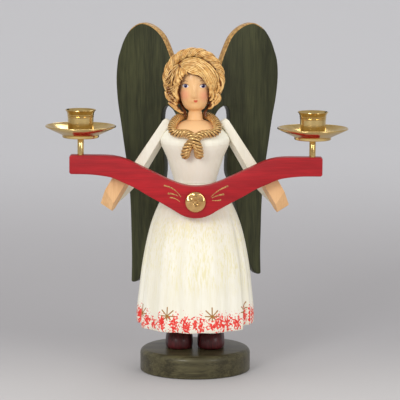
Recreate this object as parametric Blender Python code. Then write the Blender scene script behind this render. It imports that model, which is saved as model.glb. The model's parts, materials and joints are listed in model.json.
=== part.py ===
"""Wooden light angel: a turned and carved figure that holds a bow with two brass candle cups.

Metres, +Z up. The origin is the centre of the base's underside, the angel faces -Y,
and +X is on the viewer's right.
"""

import math

import bmesh
import bpy
from mathutils import Matrix, Vector

# Fits
GAP = 0.0003            # between faces that are glued or rest on each other
PEG_FIT = 0.0003        # round and behind each dowel in its hole
PEG_SIDES = 10

# Base
BASE_RADIUS = 0.0513
BASE_HEIGHT = 0.0210
BASE_TOP_FILLET = 0.0050
BASE_FOOT_FILLET = 0.0015
BASE_STEPS = 40

# Shoes and legs
SHOE_HEIGHT = 0.0209
SHOE_HALF_WIDTH = 0.0127
SHOE_HALF_LENGTH = 0.0195
SHOE_GAP = 0.0042       # between the two shoes
SHOE_SQUARENESS = 2.5
SHOE_STEPS = 20
LEG_RADIUS = 0.0040
LEG_IN_BASE = 0.0140
LEG_IN_SKIRT = 0.0300

# Skirt
SKIRT_HEIGHT = 0.1348
HEM_HALF_WIDTH = 0.0557
HEM_HALF_DEPTH = 0.0502
WAIST_RADIUS = 0.0196
SKIRT_ASIDE = 0.0007    # half way up, the skirt is turned a little to the right
HEM_LIFT = 0.0030       # of the side folds above the front panel
SKIRT_COLUMNS = 72
SKIRT_ROWS = 9
FOLD_START = 0.97       # share of the skirt's height where the folds have died out
WAIST_PEG_RADIUS = 0.0060
WAIST_PEG_DEPTH = 0.0180

# Bodice
BUST_RADIUS = 0.0326
BUST_RISE = 0.0384      # waist to bust
SHOULDER_RISE = 0.0185  # bust to neck
BODICE_STEPS = 30

# Head
NECK_RADIUS = 0.0069
NECK_HEIGHT = 0.0080    # neck seat to chin
HEAD_RADIUS = 0.0137
HEAD_HEIGHT = 0.0461    # chin to crown
TENON_RADIUS = 0.0042
TENON_LENGTH = 0.0120
NOSE_PROUD = 0.0015
HEAD_STEPS = 26

# Hair
HAIR_HALF_WIDTH = 0.0228
HAIR_HALF_DEPTH = 0.0196
HAIR_RISE = 0.0250      # centre to crown
HAIR_DROP = 0.0310      # centre to where the lower curve would close
HAIR_FOOT = 0.0014      # the trimmed foot of the hair above the chin
HAIR_BACK = 0.0030      # the hair's centre behind the neck's axis
HAIR_ASIDE = -0.0012    # and to the left of it
STRANDS = 12
STRAND_DEPTH = 0.0011
BRAID_RADIUS = 0.0042   # of the roll itself
BRAID_REACH = 0.0246    # from the hair's centre to the middle of the roll
BRAID_SPREAD = 0.0025   # more reach at the lower ends
BRAID_SWEEP = math.radians(148)     # each way from the top
BRAID_LEAN = math.radians(9)        # the top leans back
BRAID_STRANDS = 3
BRAID_PITCH = 0.0270
BRAID_SIDES = 9
LOCK_RADIUS = 0.0013

# Rope collar
ROPE_RADIUS = 0.0041
ROPE_GROOVE = 0.0008
ROPE_PITCH = 0.0078
ROPE_STRANDS = 3
ROPE_RINGS = 6          # in each turn
ROPE_ROOM_SIDES = 12
ROPE_OVER = 0.0040      # one run passes over the other at the chest

# Arms and hands
ARM_DEPTH = 0.0150
ARM_THICK_SHOULDER = 0.0080
ARM_THICK_WRIST = 0.0112
ARM_EDGE = 0.0009
ARM_PEG_RADIUS = 0.0026
HAND_PROUD = 0.0018     # the hand stands inside the sleeve's inner face
HAND_THICK = 0.0122
HAND_PEG_RADIUS = 0.0020

# Bow
BOW_HALF_SPAN = 0.1152
BOW_THICK = 0.0120
BOW_END_HEIGHT = 0.0172
BOW_TOP_ABOVE_WAIST = 0.0285
BOW_SAG = 0.0276        # of the top edge, ends to middle
BOW_MIDDLE_HEIGHT = 0.0308
BOW_EDGE = 0.0006
BOW_PEG_RADIUS = 0.0040
BOW_ASIDE = 0.0012      # the bow is mounted a little to the right
BOW_TILT = math.radians(0.45)       # and its left end is a little higher

# Rosette
ROSETTE_RADIUS = 0.0096
ROSETTE_DOME = 0.0034
ROSETTE_STEPS = 18
ROSETTE_SHANK = 0.0016
ROSETTE_SHANK_LENGTH = 0.0090

# Candle rods, dishes, cups and nuts
ROD_OFFSET = 0.1056
ROD_ASIDE = 0.0004      # both holes are drilled a little to the right
ROD_RADIUS = 0.0029
ROD_STEPS = 12
ROD_IN_BOW = 0.0120
ROD_SHOWN = 0.0156      # bow to dish
SPIGOT_RADIUS = 0.0018
DISH_RADIUS = 0.0323
DISH_WELL_RADIUS = 0.0168
DISH_WELL_DEPTH = 0.0027
DISH_RISE = 0.0076
DISH_WALL = 0.0007
CUP_BORE_RADIUS = 0.0111
CUP_WALL = 0.0006
CUP_HEIGHT = 0.0246
CUP_FLOOR = 0.0010
CUP_FLARE = 0.0022
CUP_FLARE_HEIGHT = 0.0044
NUT_ACROSS_FLATS = 0.0070
NUT_HEIGHT = 0.0026
METAL_STEPS = 28

# Wings
WING_THICK = 0.0086
WING_SWEEP = math.radians(28)
WING_APEX_Y = 0.0176    # where the two front faces would meet
WING_TOP_Z = 0.3208
WING_FOOT_Z = {-1: 0.0735, 1: 0.0815}
WING_EDGE = 0.0004
WING_PEG_RADIUS = 0.0020
WING_LEAN = 0.030        # to the right, in each metre above the neck
WING_LEAN_HEIGHT = 0.045        # above it the lean stays as it is

# Heights that follow
SOLE_Z = BASE_HEIGHT + GAP
HEM_Z = SOLE_Z + SHOE_HEIGHT + GAP
WAIST_Z = HEM_Z + SKIRT_HEIGHT + GAP
BUST_Z = WAIST_Z + BUST_RISE
NECK_Z = BUST_Z + SHOULDER_RISE
CHIN_Z = NECK_Z + GAP + NECK_HEIGHT
HAIR_Z = CHIN_Z + 0.66 * HEAD_HEIGHT
BOW_TOP_Z = WAIST_Z + BOW_TOP_ABOVE_WAIST
BOW_LOW_Z = BOW_TOP_Z - BOW_SAG - BOW_MIDDLE_HEIGHT

SIDES = {"left": -1, "right": 1}


def clear_scene():
    for obj in list(bpy.data.objects):
        bpy.data.objects.remove(obj, do_unlink=True)


def material(name, colour, roughness, metallic=0.0):
    mat = bpy.data.materials.new(name)
    mat.use_nodes = True
    shader = mat.node_tree.nodes["Principled BSDF"]
    shader.inputs["Base Color"].default_value = (*colour, 1.0)
    shader.inputs["Roughness"].default_value = roughness
    shader.inputs["Metallic"].default_value = metallic
    mat.diffuse_color = (*colour, 1.0)
    return mat


# General shapes

def piece(name, bm, mat, smooth=math.radians(35)):
    """A finished object from a bmesh, shaded smooth apart from its sharp edges."""
    bmesh.ops.remove_doubles(bm, verts=bm.verts, dist=1e-6)
    bmesh.ops.recalc_face_normals(bm, faces=bm.faces)
    mesh = bpy.data.meshes.new(name)
    bm.to_mesh(mesh)
    bm.free()
    mesh.shade_smooth()
    mesh.set_sharp_from_angle(angle=smooth)
    if mat:
        mesh.materials.append(mat)
    obj = bpy.data.objects.new(name, mesh)
    bpy.context.scene.collection.objects.link(obj)
    return obj


def cutter(name, bm):
    obj = piece(name, bm, None)
    obj.hide_render = True
    obj.display_type = "WIRE"
    return obj


def cut(obj, tool, operation="DIFFERENCE"):
    boolean = obj.modifiers.new(tool.name, "BOOLEAN")
    boolean.object = tool
    boolean.operation = operation
    boolean.solver = "EXACT"


def spline(points, per_span, closed=False):
    """Points on a smooth curve through the given ones."""
    count = len(points)
    spans = count if closed else count - 1
    curve = []
    for i in range(spans):
        if closed:
            before, start, end, after = (points[(i + k) % count] for k in (-1, 0, 1, 2))
        else:
            before = points[max(i - 1, 0)]
            start, end = points[i], points[i + 1]
            after = points[min(i + 2, count - 1)]
        for step in range(per_span):
            t = step / per_span
            curve.append(tuple(
                0.5 * (2 * b + (c - a) * t + (2 * a - 5 * b + 4 * c - d) * t * t
                       + (3 * b - a - 3 * c + d) * t ** 3)
                for a, b, c, d in zip(before, start, end, after)))
    if not closed:
        curve.append(tuple(points[-1]))
    return curve


def read_curve(curve, at):
    """The second value of a curve of (x, value) points at x, with x rising."""
    for (x0, y0), (x1, y1) in zip(curve, curve[1:]):
        if at <= x1:
            share = 0.0 if x1 == x0 else max(0.0, (at - x0) / (x1 - x0))
            return y0 + (y1 - y0) * share
    return curve[-1][1]


def arc(centre, radius, start, end, steps):
    return [(centre[0] + radius * math.cos(start + (end - start) * i / steps),
             centre[1] + radius * math.sin(start + (end - start) * i / steps))
            for i in range(steps + 1)]


def turned(profile, steps):
    """A bmesh spun from (radius, height) points that run round the section."""
    bm = bmesh.new()
    verts = [bm.verts.new((radius, 0.0, height)) for radius, height in profile]
    edges = [bm.edges.new(pair) for pair in zip(verts, verts[1:])]
    if profile[0][0] > 0 or profile[-1][0] > 0:
        edges.append(bm.edges.new((verts[-1], verts[0])))
    bmesh.ops.spin(bm, geom=verts + edges, cent=(0, 0, 0), axis=(0, 0, 1),
                   angle=2 * math.pi, steps=steps, use_merge=True)
    bmesh.ops.remove_doubles(bm, verts=bm.verts, dist=1e-6)
    bmesh.ops.dissolve_degenerate(bm, edges=bm.edges, dist=1e-7)
    return bm


def lofted(rings, closed=False):
    """A bmesh skinned over rings of points, with flat ends or joined end to end."""
    bm = bmesh.new()
    rows = [[bm.verts.new(point) for point in ring] for ring in rings]
    pairs = list(zip(rows, rows[1:]))
    if closed:
        pairs.append((rows[-1], rows[0]))
    for lower, upper in pairs:
        for i in range(len(lower)):
            j = (i + 1) % len(lower)
            bm.faces.new((lower[i], lower[j], upper[j], upper[i]))
    if not closed:
        bm.faces.new(list(reversed(rows[0])))
        bm.faces.new(rows[-1])
    return bm


def swept(path, section, closed=False):
    """A bmesh swept along a path. section(length) gives the ring's points across it."""
    points = [Vector(point) for point in path]
    count = len(points)
    rings = []
    length = 0.0
    side = None
    for i, point in enumerate(points):
        if closed:
            along = (points[(i + 1) % count] - points[i - 1]).normalized()
        else:
            along = (points[min(i + 1, count - 1)] - points[max(i - 1, 0)]).normalized()
        if side is None:
            side = along.cross(Vector((0.13, 0.99, 0.05))).normalized()
        side = (side - along * side.dot(along)).normalized()
        other = along.cross(side)
        rings.append([point + side * x + other * y for x, y in section(length)])
        if i + 1 < count:
            length += (points[i + 1] - point).length
    return lofted(rings, closed)


def board(outline, place, front, back):
    """A flat board. place(u, v, depth) gives a point, and front and back the depth at (u, v)."""
    rings = [[place(u, v, face(u, v)) for u, v in outline] for face in (front, back)]
    return lofted(rings)


def slice_off(bm, point, normal):
    """Cuts a solid by a plane and keeps what lies behind it, closed again."""
    found = bmesh.ops.bisect_plane(bm, geom=bm.verts[:] + bm.edges[:] + bm.faces[:], dist=1e-7,
                                   plane_co=point, plane_no=normal, clear_outer=True)
    rim = [item for item in found["geom_cut"] if isinstance(item, bmesh.types.BMEdge)]
    bmesh.ops.contextual_create(bm, geom=rim)
    bmesh.ops.recalc_face_normals(bm, faces=bm.faces)


def round_rims(bm, width):
    """Breaks the edges round a board's two faces, which are its largest polygons."""
    faces = sorted(bm.faces, key=lambda face: len(face.verts))[-2:]
    edges = {edge for face in faces for edge in face.edges}
    bmesh.ops.bevel(bm, geom=list(edges), offset=width, segments=1, affect="EDGES",
                    clamp_overlap=True)
    return bm


def rod_between(start, end, radius, sides=PEG_SIDES):
    """A bmesh cylinder from one point to another."""
    start, end = Vector(start), Vector(end)
    bm = bmesh.new()
    turn = Vector((0, 0, 1)).rotation_difference(end - start).to_matrix().to_4x4()
    bmesh.ops.create_cone(bm, cap_ends=True, segments=sides, radius1=radius, radius2=radius,
                          depth=(end - start).length,
                          matrix=Matrix.Translation((start + end) / 2) @ turn)
    return bm


def dowel(name, start, end, radius, mat, *carriers):
    """A dowel from start to end, and its hole in each piece that it joins."""
    start, end = Vector(start), Vector(end)
    reach = (end - start).normalized() * PEG_FIT
    peg = piece(name, rod_between(start, end, radius), mat)
    hole = cutter(name + "_hole", rod_between(start - reach, end + reach, radius + PEG_FIT))
    for carrier in carriers:
        cut(carrier, hole)
    return peg


# Base, shoes and legs

def make_base(mat):
    top = arc((BASE_RADIUS - BASE_TOP_FILLET, BASE_HEIGHT - BASE_TOP_FILLET),
              BASE_TOP_FILLET, 0, math.pi / 2, 3)
    foot = arc((BASE_RADIUS - BASE_FOOT_FILLET, BASE_FOOT_FILLET),
               BASE_FOOT_FILLET, -math.pi / 2, 0, 1)
    profile = [(0.0, 0.0)] + foot + top + [(0.0, BASE_HEIGHT)]
    return piece("base", turned(profile, BASE_STEPS), mat)


# Height share, width share, length share and the ring's middle behind the leg, in lengths.
SHOE_RINGS = ((0.0, 0.93, 0.93, 0.0), (0.07, 0.985, 0.98, 0.0), (0.25, 1.0, 1.0, 0.0),
              (0.45, 0.99, 0.94, 0.04), (0.63, 0.95, 0.84, 0.10), (0.82, 0.88, 0.74, 0.17),
              (1.0, 0.83, 0.69, 0.20))


def shoe_x(side):
    return side * (SHOE_GAP / 2 + SHOE_HALF_WIDTH)


def make_shoe(name, side, mat):
    rings = []
    for height, width, length, back in SHOE_RINGS:
        ring = []
        for step in range(SHOE_STEPS):
            angle = 2 * math.pi * step / SHOE_STEPS
            x = math.copysign(abs(math.cos(angle)) ** (2 / SHOE_SQUARENESS), math.cos(angle))
            y = math.copysign(abs(math.sin(angle)) ** (2 / SHOE_SQUARENESS), math.sin(angle))
            ring.append((shoe_x(side) + x * width * SHOE_HALF_WIDTH,
                         (y * length + back) * SHOE_HALF_LENGTH,
                         SOLE_Z + height * SHOE_HEIGHT))
        rings.append(ring)
    return piece(name, lofted(rings), mat, math.radians(50))


# Skirt. The curve gives height share and flare share, from hem to waist.
SKIRT_CURVE = ((0.0, 0.994), (0.04, 1.0), (0.12, 0.985), (0.22, 0.945), (0.315, 0.905),
               (0.41, 0.86), (0.51, 0.795), (0.61, 0.715), (0.70, 0.625), (0.78, 0.515),
               (0.855, 0.385), (0.915, 0.245), (0.96, 0.125), (0.985, 0.05), (1.0, 0.0))
# Folds: degrees from the front, depth at the hem in metres, and half width in degrees.
SKIRT_FOLDS = ((-50, 0.0014, 11), (-16, 0.0012, 10), (8.5, 0.0013, 9), (42, 0.0014, 10),
               (-72, 0.0042, 6), (60.5, 0.0042, 6), (-96, 0.0012, 9), (90, 0.0012, 9),
               (-126, 0.0022, 11), (114, 0.0024, 11), (-152, 0.0022, 10), (141, 0.0022, 11),
               (168, 0.0024, 11))


PANEL_MIDDLE = (SKIRT_FOLDS[4][0] + SKIRT_FOLDS[5][0]) / 2
PANEL_HALF = (SKIRT_FOLDS[5][0] - SKIRT_FOLDS[4][0]) / 2
HEM_LIFT_REACH = 0.25   # share of the height over which the lift dies out


def skirt_flare(share):
    return read_curve(SKIRT_LINE, share)


SKIRT_LINE = spline(SKIRT_CURVE, 4)


def skirt_half_sizes(share):
    """Half width and half depth of the skirt at a share of its height."""
    flare = skirt_flare(share)
    return (WAIST_RADIUS + (HEM_HALF_WIDTH - WAIST_RADIUS) * flare,
            WAIST_RADIUS + (HEM_HALF_DEPTH - WAIST_RADIUS) * flare)


def fold_depth(degrees, share):
    """How far the carved folds cut in at an angle from the front and a height share."""
    strength = max(0.0, 1.0 - share / FOLD_START) ** 0.8
    depth = 0.0
    for middle, deepest, half_width in SKIRT_FOLDS:
        away = (degrees - middle + 180) % 360 - 180
        depth += deepest * math.exp(-(away / half_width) ** 2)
    return depth * strength


def side_hem(degrees):
    """1 on the side and back folds, and 0 on the front panel between the two deep creases."""
    away = abs((degrees - PANEL_MIDDLE + 180) % 360 - 180) - PANEL_HALF
    return min(1.0, max(0.0, 0.5 + away / 6))


def make_skirt(mat):
    rings = []
    for row in range(SKIRT_ROWS + 1):
        share = (row / SKIRT_ROWS) ** 0.9
        half_width, half_depth = skirt_half_sizes(share)
        ring = []
        for column in range(SKIRT_COLUMNS):
            degrees = 360 * column / SKIRT_COLUMNS
            angle = math.radians(degrees)
            inward = 1 - fold_depth(degrees, share) / half_depth
            aside = SKIRT_ASIDE * (0.5 + 0.5 * math.sin(math.pi * share)) * (1 - share ** 8)
            lift = HEM_LIFT * side_hem(degrees) * max(0.0, 1 - share / HEM_LIFT_REACH)
            ring.append((aside + half_width * inward * math.sin(angle),
                         -half_depth * inward * math.cos(angle),
                         HEM_Z + share * SKIRT_HEIGHT + lift))
        rings.append(ring)
    floor = [(0.8 * x, 0.8 * y, HEM_Z) for x, y, z in rings[0]]
    return piece("skirt", lofted([floor] + rings), mat, math.radians(60))


# Bodice: from the waist to the bust, then over the shoulders to the neck.
BODICE_LOWER = ((0.0, 0.0), (0.0625, 0.03), (0.32, 0.26), (0.58, 0.515), (0.70, 0.677),
                (0.845, 0.877), (0.94, 0.98), (1.0, 1.0))
BODICE_UPPER = ((0.135, 0.984), (0.30, 0.92), (0.46, 0.813), (0.605, 0.68), (0.746, 0.51),
                (0.84, 0.36), (0.92, 0.195), (0.968, 0.092), (1.0, 0.0))


def neck_seat_radius():
    return NECK_RADIUS + 0.0006


def bodice_line():
    """(radius, height) up the bodice's side, from the waist to the neck's seat."""
    points = [(WAIST_RADIUS + (BUST_RADIUS - WAIST_RADIUS) * out, WAIST_Z + BUST_RISE * up)
              for up, out in BODICE_LOWER]
    seat = neck_seat_radius()
    points += [(seat + (BUST_RADIUS - seat) * out, BUST_Z + SHOULDER_RISE * up)
               for up, out in BODICE_UPPER]
    return points


def make_bodice(mat):
    profile = [(0.0, WAIST_Z)] + bodice_line() + [(0.0, NECK_Z)]
    return piece("bodice", turned(profile, BODICE_STEPS), mat)


def seat_on_bodice(degrees, down, lift):
    """A point off the bodice, down its line from the neck, at an angle from the front."""
    line = list(reversed(bodice_line()))
    here = line[-1]
    across = Vector((1, 0))
    left = down
    for start, end in zip(line, line[1:]):
        span = Vector(end) - Vector(start)
        across = Vector((-span.y, span.x)).normalized()
        if left <= span.length:
            here = Vector(start) + span * (left / span.length)
            break
        left -= span.length
        here = Vector(end)
    out = Vector(here) - across * lift if across.x < 0 else Vector(here) + across * lift
    angle = math.radians(degrees)
    return Vector((out.x * math.sin(angle), -out.x * math.cos(angle), out.y))


# Head: from the chin up, height share and radius share.
HEAD_CURVE = ((0.0, 0.42), (0.022, 0.47), (0.06, 0.66), (0.125, 0.81), (0.225, 0.92),
              (0.33, 0.985), (0.45, 1.0), (0.58, 0.985), (0.70, 0.93), (0.81, 0.81),
              (0.90, 0.63), (0.965, 0.39), (1.0, 0.0))


def head_line(grow=0.0):
    """(radius, height) up the head from under the chin, grown for the hair's fit."""
    return [(max(0.0, HEAD_RADIUS * out + (grow if out else 0.0)),
             CHIN_Z + HEAD_HEIGHT * up + grow * (2 * up - 1))
            for up, out in spline(HEAD_CURVE, 1)]


def make_head(mat):
    bottom = NECK_Z + GAP
    profile = [(0.0, bottom - TENON_LENGTH), (TENON_RADIUS, bottom - TENON_LENGTH),
               (TENON_RADIUS, bottom), (NECK_RADIUS, bottom),
               (NECK_RADIUS * 0.96, bottom + NECK_HEIGHT * 0.5), (NECK_RADIUS, CHIN_Z)]
    profile += head_line()[1:]
    bm = turned(profile, HEAD_STEPS)
    bridge_z = CHIN_Z + 0.56 * HEAD_HEIGHT
    tip_z = CHIN_Z + 0.36 * HEAD_HEIGHT
    for vert in bm.verts:
        if vert.co.y < 0 and CHIN_Z < vert.co.z < bridge_z:
            down = (bridge_z - vert.co.z) / (bridge_z - tip_z)
            height = down if down <= 1 else max(0.0, 1 - (down - 1) * 5)
            vert.co.y -= NOSE_PROUD * height * math.exp(-(vert.co.x / 0.0018) ** 2)
    return piece("head", bm, mat, math.radians(40))


# Hair. The strands run like meridians from a parting at the upper left of the brow.
PARTING = Vector((-0.46, -0.66, 0.59)).normalized()
# Face opening, in head radii across and head heights up from the chin.
FACE_OPENING = ((-0.95, 0.76), (-0.45, 0.765), (0.06, 0.71), (0.34, 0.66), (0.66, 0.61),
                (0.84, 0.535), (0.96, 0.435), (0.95, 0.29), (0.84, 0.19), (0.67, 0.07),
                (0.55, -0.10), (-0.55, -0.10), (-0.68, 0.07), (-0.88, 0.175), (-1.01, 0.27),
                (-1.08, 0.40), (-0.98, 0.545), (-0.84, 0.645))


def hair_centre():
    return Vector((HAIR_ASIDE, HAIR_BACK, HAIR_Z))


def hair_point(direction, depth=0.0):
    """A point on the hair, in a direction from its centre, sunk by a depth."""
    height = HAIR_RISE if direction.z > 0 else HAIR_DROP
    return hair_centre() + Vector((direction.x * (HAIR_HALF_WIDTH - depth),
                                   direction.y * (HAIR_HALF_DEPTH - depth),
                                   direction.z * (height - depth)))


def make_hair(mat):
    turn = Vector((0, 0, 1)).rotation_difference(PARTING).to_matrix()
    columns = STRANDS * 4
    rows = 12
    wave = (0.0, 0.75, 1.0, 0.55)
    bm = bmesh.new()
    grid = []
    for row in range(1, rows):
        latitude = math.pi * row / rows
        ring = []
        for column in range(columns):
            strand = 2 * math.pi * column / columns + 0.35 * math.sin(2 * latitude)
            direction = turn @ Vector((math.sin(latitude) * math.cos(strand),
                                       math.sin(latitude) * math.sin(strand),
                                       math.cos(latitude)))
            depth = STRAND_DEPTH * math.sin(latitude) ** 0.5 * (1 - wave[column % 4])
            ring.append(bm.verts.new(hair_point(direction, depth)))
        grid.append(ring)
    ends = [bm.verts.new(hair_point(turn @ Vector((0, 0, sign)))) for sign in (1, -1)]
    for upper, lower in zip(grid, grid[1:]):
        for i in range(columns):
            j = (i + 1) % columns
            bm.faces.new((upper[i], lower[i], lower[j], upper[j]))
    for i in range(columns):
        j = (i + 1) % columns
        bm.faces.new((ends[0], grid[0][i], grid[0][j]))
        bm.faces.new((ends[1], grid[-1][j], grid[-1][i]))
    slice_off(bm, (0, 0, CHIN_Z + HAIR_FOOT), (0, 0, -1))
    hair = piece("hair", bm, mat, math.radians(60))

    groove = swept(braid_path(-math.pi, math.pi, 28)[:-1],
                   lambda length: ring_section(BRAID_RADIUS + GAP, 8), closed=True)
    cut(hair, cutter("braid_seat", groove))
    opening = [(x * HEAD_RADIUS, CHIN_Z + up * HEAD_HEIGHT) for x, up in FACE_OPENING]
    window = board(opening, lambda x, z, y: (x, y, z),
                   lambda x, z: -3 * HEAD_RADIUS, lambda x, z: -0.15 * HEAD_RADIUS)
    cut(hair, cutter("face_opening", window))
    skull = [(0.0, CHIN_Z - NECK_HEIGHT), (NECK_RADIUS + GAP, CHIN_Z - NECK_HEIGHT),
             (NECK_RADIUS + GAP, CHIN_Z - GAP)] + head_line(GAP)[1:]
    cut(hair, cutter("head_room", turned(skull, 18)))
    return hair


def braid_path(start, end, steps):
    """The middle of the roll, by angle from the top of the head."""
    lean = Matrix.Rotation(-BRAID_LEAN, 3, "X")
    path = []
    for step in range(steps + 1):
        angle = start + (end - start) * step / steps
        reach = BRAID_REACH + BRAID_SPREAD * (1 - math.cos(angle)) / 2
        path.append(hair_centre() + lean @ Vector((
            reach * math.sin(angle), 0.0, reach * math.cos(angle))))
    return path


def ring_section(radius, sides):
    return [(radius * math.cos(2 * math.pi * i / sides), radius * math.sin(2 * math.pi * i / sides))
            for i in range(sides)]


def make_braid(mat):
    steps = 42
    arc_length = 2 * BRAID_SWEEP * BRAID_REACH

    def section(length):
        to_end = min(length, max(0.0, arc_length - length))
        radius = BRAID_RADIUS * min(1.0, 0.35 + 0.65 * math.sqrt(min(1.0, to_end / 0.012)))
        ring = []
        for i in range(BRAID_SIDES):
            angle = 2 * math.pi * i / BRAID_SIDES
            lobe = math.cos(BRAID_STRANDS * (angle - 2 * math.pi * length / BRAID_PITCH))
            reach = radius * (1 - 0.13 * (1 - lobe))
            ring.append((reach * math.cos(angle), reach * math.sin(angle)))
        return ring

    path = braid_path(-BRAID_SWEEP, BRAID_SWEEP, steps)
    return piece("braid_crown", swept(path, section), mat, math.radians(50))


# A lock of hair beside the neck: distance out from the neck's side, back from its middle
# and up from its seat, with the lock's thickness as a share.
LOCK_LINE = ((0.0029, 0.0006, 0.0024, 0.55), (0.0023, 0.0012, 0.0050, 0.85),
             (0.0026, 0.0024, 0.0076, 1.0), (0.0044, 0.0042, 0.0104, 1.0),
             (0.0060, 0.0058, 0.0134, 1.0), (0.0068, 0.0066, 0.0184, 1.0))
LOCK_SIDES = 8


def lock_shape(side, grow):
    rings = []
    for out, back, up, share in LOCK_LINE:
        section = ring_section(LOCK_RADIUS * share + grow, LOCK_SIDES)
        rings.append([(side * (NECK_RADIUS + out) + x, back + y, NECK_Z + up) for x, y in section])
    if grow:
        rings[-1] = [(x, y, z + grow) for x, y, z in rings[-1]]
    return lofted(rings)


def make_lock(name, side, mat, hair):
    lock = piece(name, lock_shape(side, 0.0), mat, math.radians(60))
    cut(hair, cutter(name + "_seat", lock_shape(side, GAP)))
    return lock


# Rope collar: degrees from the front, length down the bodice from the neck, and lift.
COLLAR_RUN = ((-184, 0.0046, 0.0), (-165, 0.0046, 0.0), (-140, 0.0050, 0.0),
              (-115, 0.0064, 0.0), (-90, 0.0092, 0.0), (-68, 0.0138, 0.0),
              (-52, 0.0198, 0.0), (-40, 0.0242, 0.0), (-28, 0.0261, 0.0),
              (-15, 0.0264, 0.2), (-6, 0.0276, 0.8), (1.5, 0.0308, 1.0),
              (8, 0.0352, 0.5), (12.5, 0.0402, 0.1), (13.5, 0.0450, 0.0))


def rope_section(length):
    ring = []
    for i in range(2 * ROPE_STRANDS):
        angle = math.pi * i / ROPE_STRANDS + 2 * math.pi * length / ROPE_PITCH
        reach = ROPE_RADIUS - (ROPE_GROOVE if i % 2 else 0.0)
        ring.append((reach * math.cos(angle), reach * math.sin(angle)))
    return ring


def rope_half(side, over):
    """One run of the rope, from behind the neck to the end of its tail."""
    controls = [seat_on_bodice(-side * degrees, down, ROPE_RADIUS + GAP + over * lift)
                for degrees, down, lift in COLLAR_RUN]
    fine = [Vector(point) for point in spline(controls, 12)]
    step = ROPE_PITCH / ROPE_RINGS
    path = [fine[0]]
    carried = 0.0
    for start, end in zip(fine, fine[1:]):
        carried += (end - start).length
        if carried >= step:
            path.append(end)
            carried = 0.0
    return path


def make_collar(mat):
    pieces = []
    for name, side, over in (("rope_collar", -1, ROPE_OVER), ("rope_under_run", 1, 0.0)):
        path = rope_half(side, over)
        bm = swept(path, rope_section)
        pieces.append(piece(name, bm, mat, math.radians(70)))
    pieces[1].hide_render = True
    pieces[1].display_type = "WIRE"
    cut(pieces[0], pieces[1], "UNION")
    return pieces[0]


# Arms: boards in a leaning plane. u runs forwards and v down the arm, from the seat at the
# front of the shoulder, and depth runs out from the body.
ARM_INWARD = Vector((-0.818, -0.326, -0.472)).normalized()     # of the right arm
ARM_SPREAD = {-1: math.radians(31), 1: math.radians(30)}
ARM_SEAT_Y = -0.0070
ARM_SEAT_IN = {-1: 0.0022, 1: 0.0010}       # inside the bust's radius
ARM_SEAT_UP = 0.0030    # above the bust
ARM_TOP = 0.0165
FOREARM_FRONT = 0.0170
HAND_BACK = FOREARM_FRONT + GAP


def arm_axes(side):
    """Down and forwards along the arm, and outwards, as if it were the right one."""
    down = Vector((math.sin(ARM_SPREAD[side]), 0.0, -math.cos(ARM_SPREAD[side])))
    forward = ARM_INWARD.cross(down).normalized()
    return down, forward, forward.cross(down).normalized()


def arm_place(side):
    seat = Vector((BUST_RADIUS - ARM_SEAT_IN[side], ARM_SEAT_Y, BUST_Z + ARM_SEAT_UP))
    down, forward, outward = arm_axes(side)

    def place(u, v, depth):
        point = seat + forward * u + down * v + outward * depth
        return Vector((side * point.x, point.y, point.z))

    return place


def arm_outline():
    """Shoulder, elbow and the flared sleeve end, as runs that meet at corners."""
    back = -ARM_DEPTH
    shoulder = spline(((back, -0.45 * ARM_TOP), (0.88 * back, -0.80 * ARM_TOP),
                       (0.55 * back, -ARM_TOP), (0.18 * back, -0.97 * ARM_TOP),
                       (0.0, -0.72 * ARM_TOP)), 3)
    elbow = spline(((0.0, 0.0330), (0.0030, 0.0385), (0.0080, 0.0420),
                    (FOREARM_FRONT, 0.0455)), 2)
    under = spline(((FOREARM_FRONT - 0.0035, 0.0735), (0.0050, 0.0672), (-0.0032, 0.0600),
                    (-0.0098, 0.0520), (0.93 * back, 0.0455), (back, 0.0380)), 2)
    return shoulder + elbow + under


def sleeve_thickness(u, v):
    along = min(1.0, max(0.0, (v + ARM_TOP) / (0.0600 + ARM_TOP)))
    return ARM_THICK_SHOULDER + (ARM_THICK_WRIST - ARM_THICK_SHOULDER) * along


def rope_room(name, side, over):
    """The hollow that the rope needs in the top of an arm, as a cutter."""
    reach = ROPE_RADIUS + GAP
    ring = [(reach * math.cos(angle), reach * math.sin(angle))
            for angle in (2 * math.pi * i / ROPE_ROOM_SIDES for i in range(ROPE_ROOM_SIDES))]
    return cutter(f"rope_room_{name}", swept(rope_half(side, over), lambda length: ring))


def make_arm(name, side, mat):
    bm = board(arm_outline(), arm_place(side), lambda u, v: GAP, sleeve_thickness)
    arm = piece(name, round_rims(bm, ARM_EDGE), mat)
    cut(arm, rope_room(name, side, ROPE_OVER if side < 0 else 0.0))
    return arm


def shoulder_flat(side):
    """The flat planed on the bodice where the arm is glued, as a cutter."""
    place = arm_place(side)
    reach = 2 * BUST_RADIUS
    outline = ((-reach, -reach), (reach, -reach), (reach, reach), (-reach, reach))
    bm = board(outline, place, lambda u, v: 0.0, lambda u, v: reach)
    return cutter(f"shoulder_flat_{side}", bm)


def make_hand(name, side, mat, bow_back):
    """A mitten that ends flat against the bow's back."""
    place = arm_place(side)
    front = (ARM_SEAT_Y - bow_back) / -arm_axes(side)[1].y + 0.012
    outline = ((HAND_BACK, 0.0460), (front, 0.0425), (front, 0.0610), (0.0335, 0.0655),
               (0.0245, 0.0792), (0.0200, 0.0800), (HAND_BACK, 0.0762))
    bm = board(outline, place, lambda u, v: -HAND_PROUD, lambda u, v: HAND_THICK - HAND_PROUD)
    flat = (0, bow_back + GAP, 0)
    slice_off(bm, flat, (0, -1, 0))
    edges = [edge for edge in bm.edges if edge.calc_face_angle(0.0) > math.radians(30)]
    bmesh.ops.bevel(bm, geom=edges, offset=ARM_EDGE, segments=1, affect="EDGES",
                    clamp_overlap=True)
    return piece(name, bm, mat)


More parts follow.
